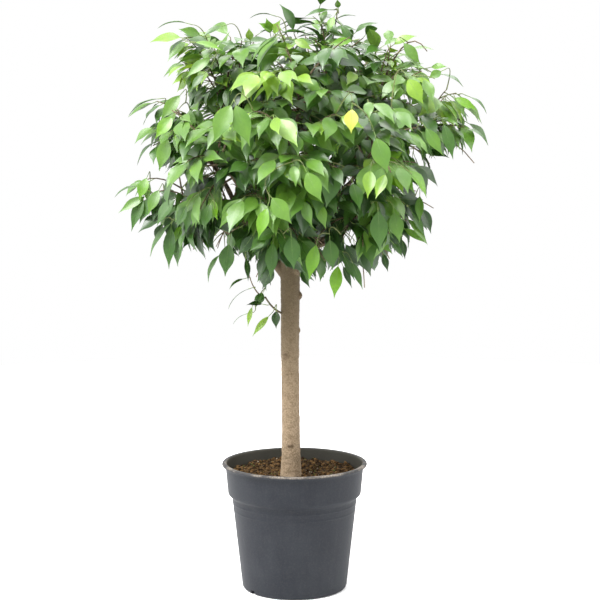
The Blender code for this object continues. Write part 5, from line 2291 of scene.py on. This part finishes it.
    def build_twigs(self) -> None:
        """Joins the twigs, the older brown ones apart from the green shoots."""
        kinds = (
            ("twigs_brown", True, TwigBark("twig_brown", (0.070, 0.045, 0.022), (0.190, 0.135, 0.075), 0.7)),
            ("twigs_green", False, TwigBark("twig_green", (0.110, 0.150, 0.040), (0.200, 0.220, 0.070))),
        )
        for name, thick, finish in kinds:
            group = [twig for twig in self.all_twigs if (twig.radius > 0.0016) == thick]
            if not group:
                continue
            paths = np.array([twig.points for twig in group])
            taper = np.linspace(1.0, 0.42, self.twig_points)
            radii = np.array([twig.radius for twig in group])[:, None] * taper
            shape = Shape()
            tubes(paths, np.maximum(radii, 0.0006), 6, shape)
            place(name, shape.mesh(name), "foliage", finish.material())

    def stand_in(self, piece: bpy.types.Object) -> None:
        """Lets a piece replace all the CAD's masses of foliage."""
        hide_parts(*self.masses)

    def build(self) -> None:
        """Grows the crown and makes its pieces."""
        self.clear_view()
        placed = self.set_by_hand()
        for sprig in SPRIGS:
            self.grow_sprig(sprig)
        for plan in LIMB_PLANS:
            if plan.name != "hanging_shoot":
                self.grow_mass(plan)
        for leaf in placed:
            self.carry(leaf)
        LOG.info("crown: %d twigs, %d leaves", len(self.all_twigs), len(self.leaves))
        self.build_twigs()
        self.build_leaves()


# ---------------------------------------------------------------- the studio
@dataclass(frozen=True)
class Lamp:
    """A soft, far light that shines from a bearing and a height."""

    name: str
    bearing: float
    elevation: float
    strength: float
    softness: float
    colour: Colour = (1.0, 1.0, 1.0)

    def hang(self) -> None:
        """Adds the lamp."""
        light = bpy.data.lights.new(self.name, "SUN")
        light.energy = self.strength
        light.angle = math.radians(self.softness)
        light.color = self.colour
        lamp = bpy.data.objects.new(self.name, light)
        bpy.context.scene.collection.objects.link(lamp)
        level = math.cos(math.radians(self.elevation))
        x, y, _ = polar(level, self.bearing)
        towards = Vector((x, y, math.sin(math.radians(self.elevation))))
        lamp.rotation_euler = towards.to_track_quat("Z", "Y").to_euler()


@dataclass
class Studio:
    """The pale floor, the soft lights, the surroundings and the camera."""

    floor_radius: float = 3.0
    backdrop: float = 1.0
    daylight: Pair = (0.16, 0.95)
    bright_side: Point = (-0.35, 0.75, 0.35)
    lamps: Tuple[Lamp, ...] = (
        Lamp("key", 228, 56, 4.4, 32),
        Lamp("top", 275, 80, 1.0, 50),
        Lamp("left", 192, 28, 1.9, 60),
        Lamp("right", 348, 28, 1.9, 60),
        Lamp("front", 272, 18, 0.5, 60),
        Lamp("back", 80, 50, 1.4, 45),
    )
    floor: FloorPaint = field(default_factory=FloorPaint)

    def build_floor(self) -> None:
        """A wide disc that the pot stands on."""
        shape = bmesh.new()
        bmesh.ops.create_circle(shape, cap_ends=True, segments=96, radius=self.floor_radius)
        mesh = bpy.data.meshes.new("studio_floor")
        shape.to_mesh(mesh)
        shape.free()
        mesh.materials.append(self.floor.material())
        disc = bpy.data.objects.new("studio_floor", mesh)
        bpy.context.scene.collection.objects.link(disc)

    def build_camera(self) -> None:
        """The camera, a little above the pot and looking slightly down."""
        lens = bpy.data.cameras.new("camera")
        lens.lens = VIEW.lens
        lens.sensor_width = VIEW.sensor
        camera = bpy.data.objects.new("camera", lens)
        camera.location = VIEW.eye
        camera.rotation_euler = (math.radians(90 - VIEW.pitch), 0.0, 0.0)
        bpy.context.scene.collection.objects.link(camera)
        bpy.context.scene.camera = camera

    def build(self) -> None:
        """Sets up everything round the tree."""
        self.build_floor()
        self.build_camera()
        for lamp in self.lamps:
            lamp.hang()
        self.build_world()
        bpy.context.scene.view_settings.view_transform = "Standard"

    def build_world(self) -> None:
        """White surroundings, which light the tree less than they show."""
        world = bpy.data.worlds.new("studio")
        world.use_nodes = True
        graph = Graph(world.node_tree)
        direction = graph.node("ShaderNodeTexCoord", output="Generated")
        sockets = {0: direction, 1: tuple(unit(self.bright_side))}
        towards = graph.node(
            "ShaderNodeVectorMath", {"operation": "DOT_PRODUCT"}, sockets, "Value"
        )
        dim, bright = self.daylight
        daylight = towards.rise(-0.45, 0.75) * (bright - dim) + dim
        seen = graph.node("ShaderNodeLightPath", output="Is Camera Ray")
        sockets = {"Value": seen, "To Min": daylight, "To Max": self.backdrop}
        level = graph.node("ShaderNodeMapRange", None, sockets)
        sockets = {"Color": (1.0, 1.0, 1.0), "Strength": level}
        shade = graph.node("ShaderNodeBackground", None, sockets)
        graph.add("ShaderNodeOutputWorld", None, {"Surface": shade})
        bpy.context.scene.world = world


def main() -> None:
    """Builds the tree, its pot and the studio, in that order."""
    logging.basicConfig(level=logging.INFO, format="%(message)s")
    plan = CrownPlan()
    pot = NurseryPot()
    pot.build()
    RootBall(pot).build()
    wood = Wood(plan.masses())
    wood.build()
    Crown(plan, wood).build()
    Studio().build()


if __name__ == "__main__":
    main()
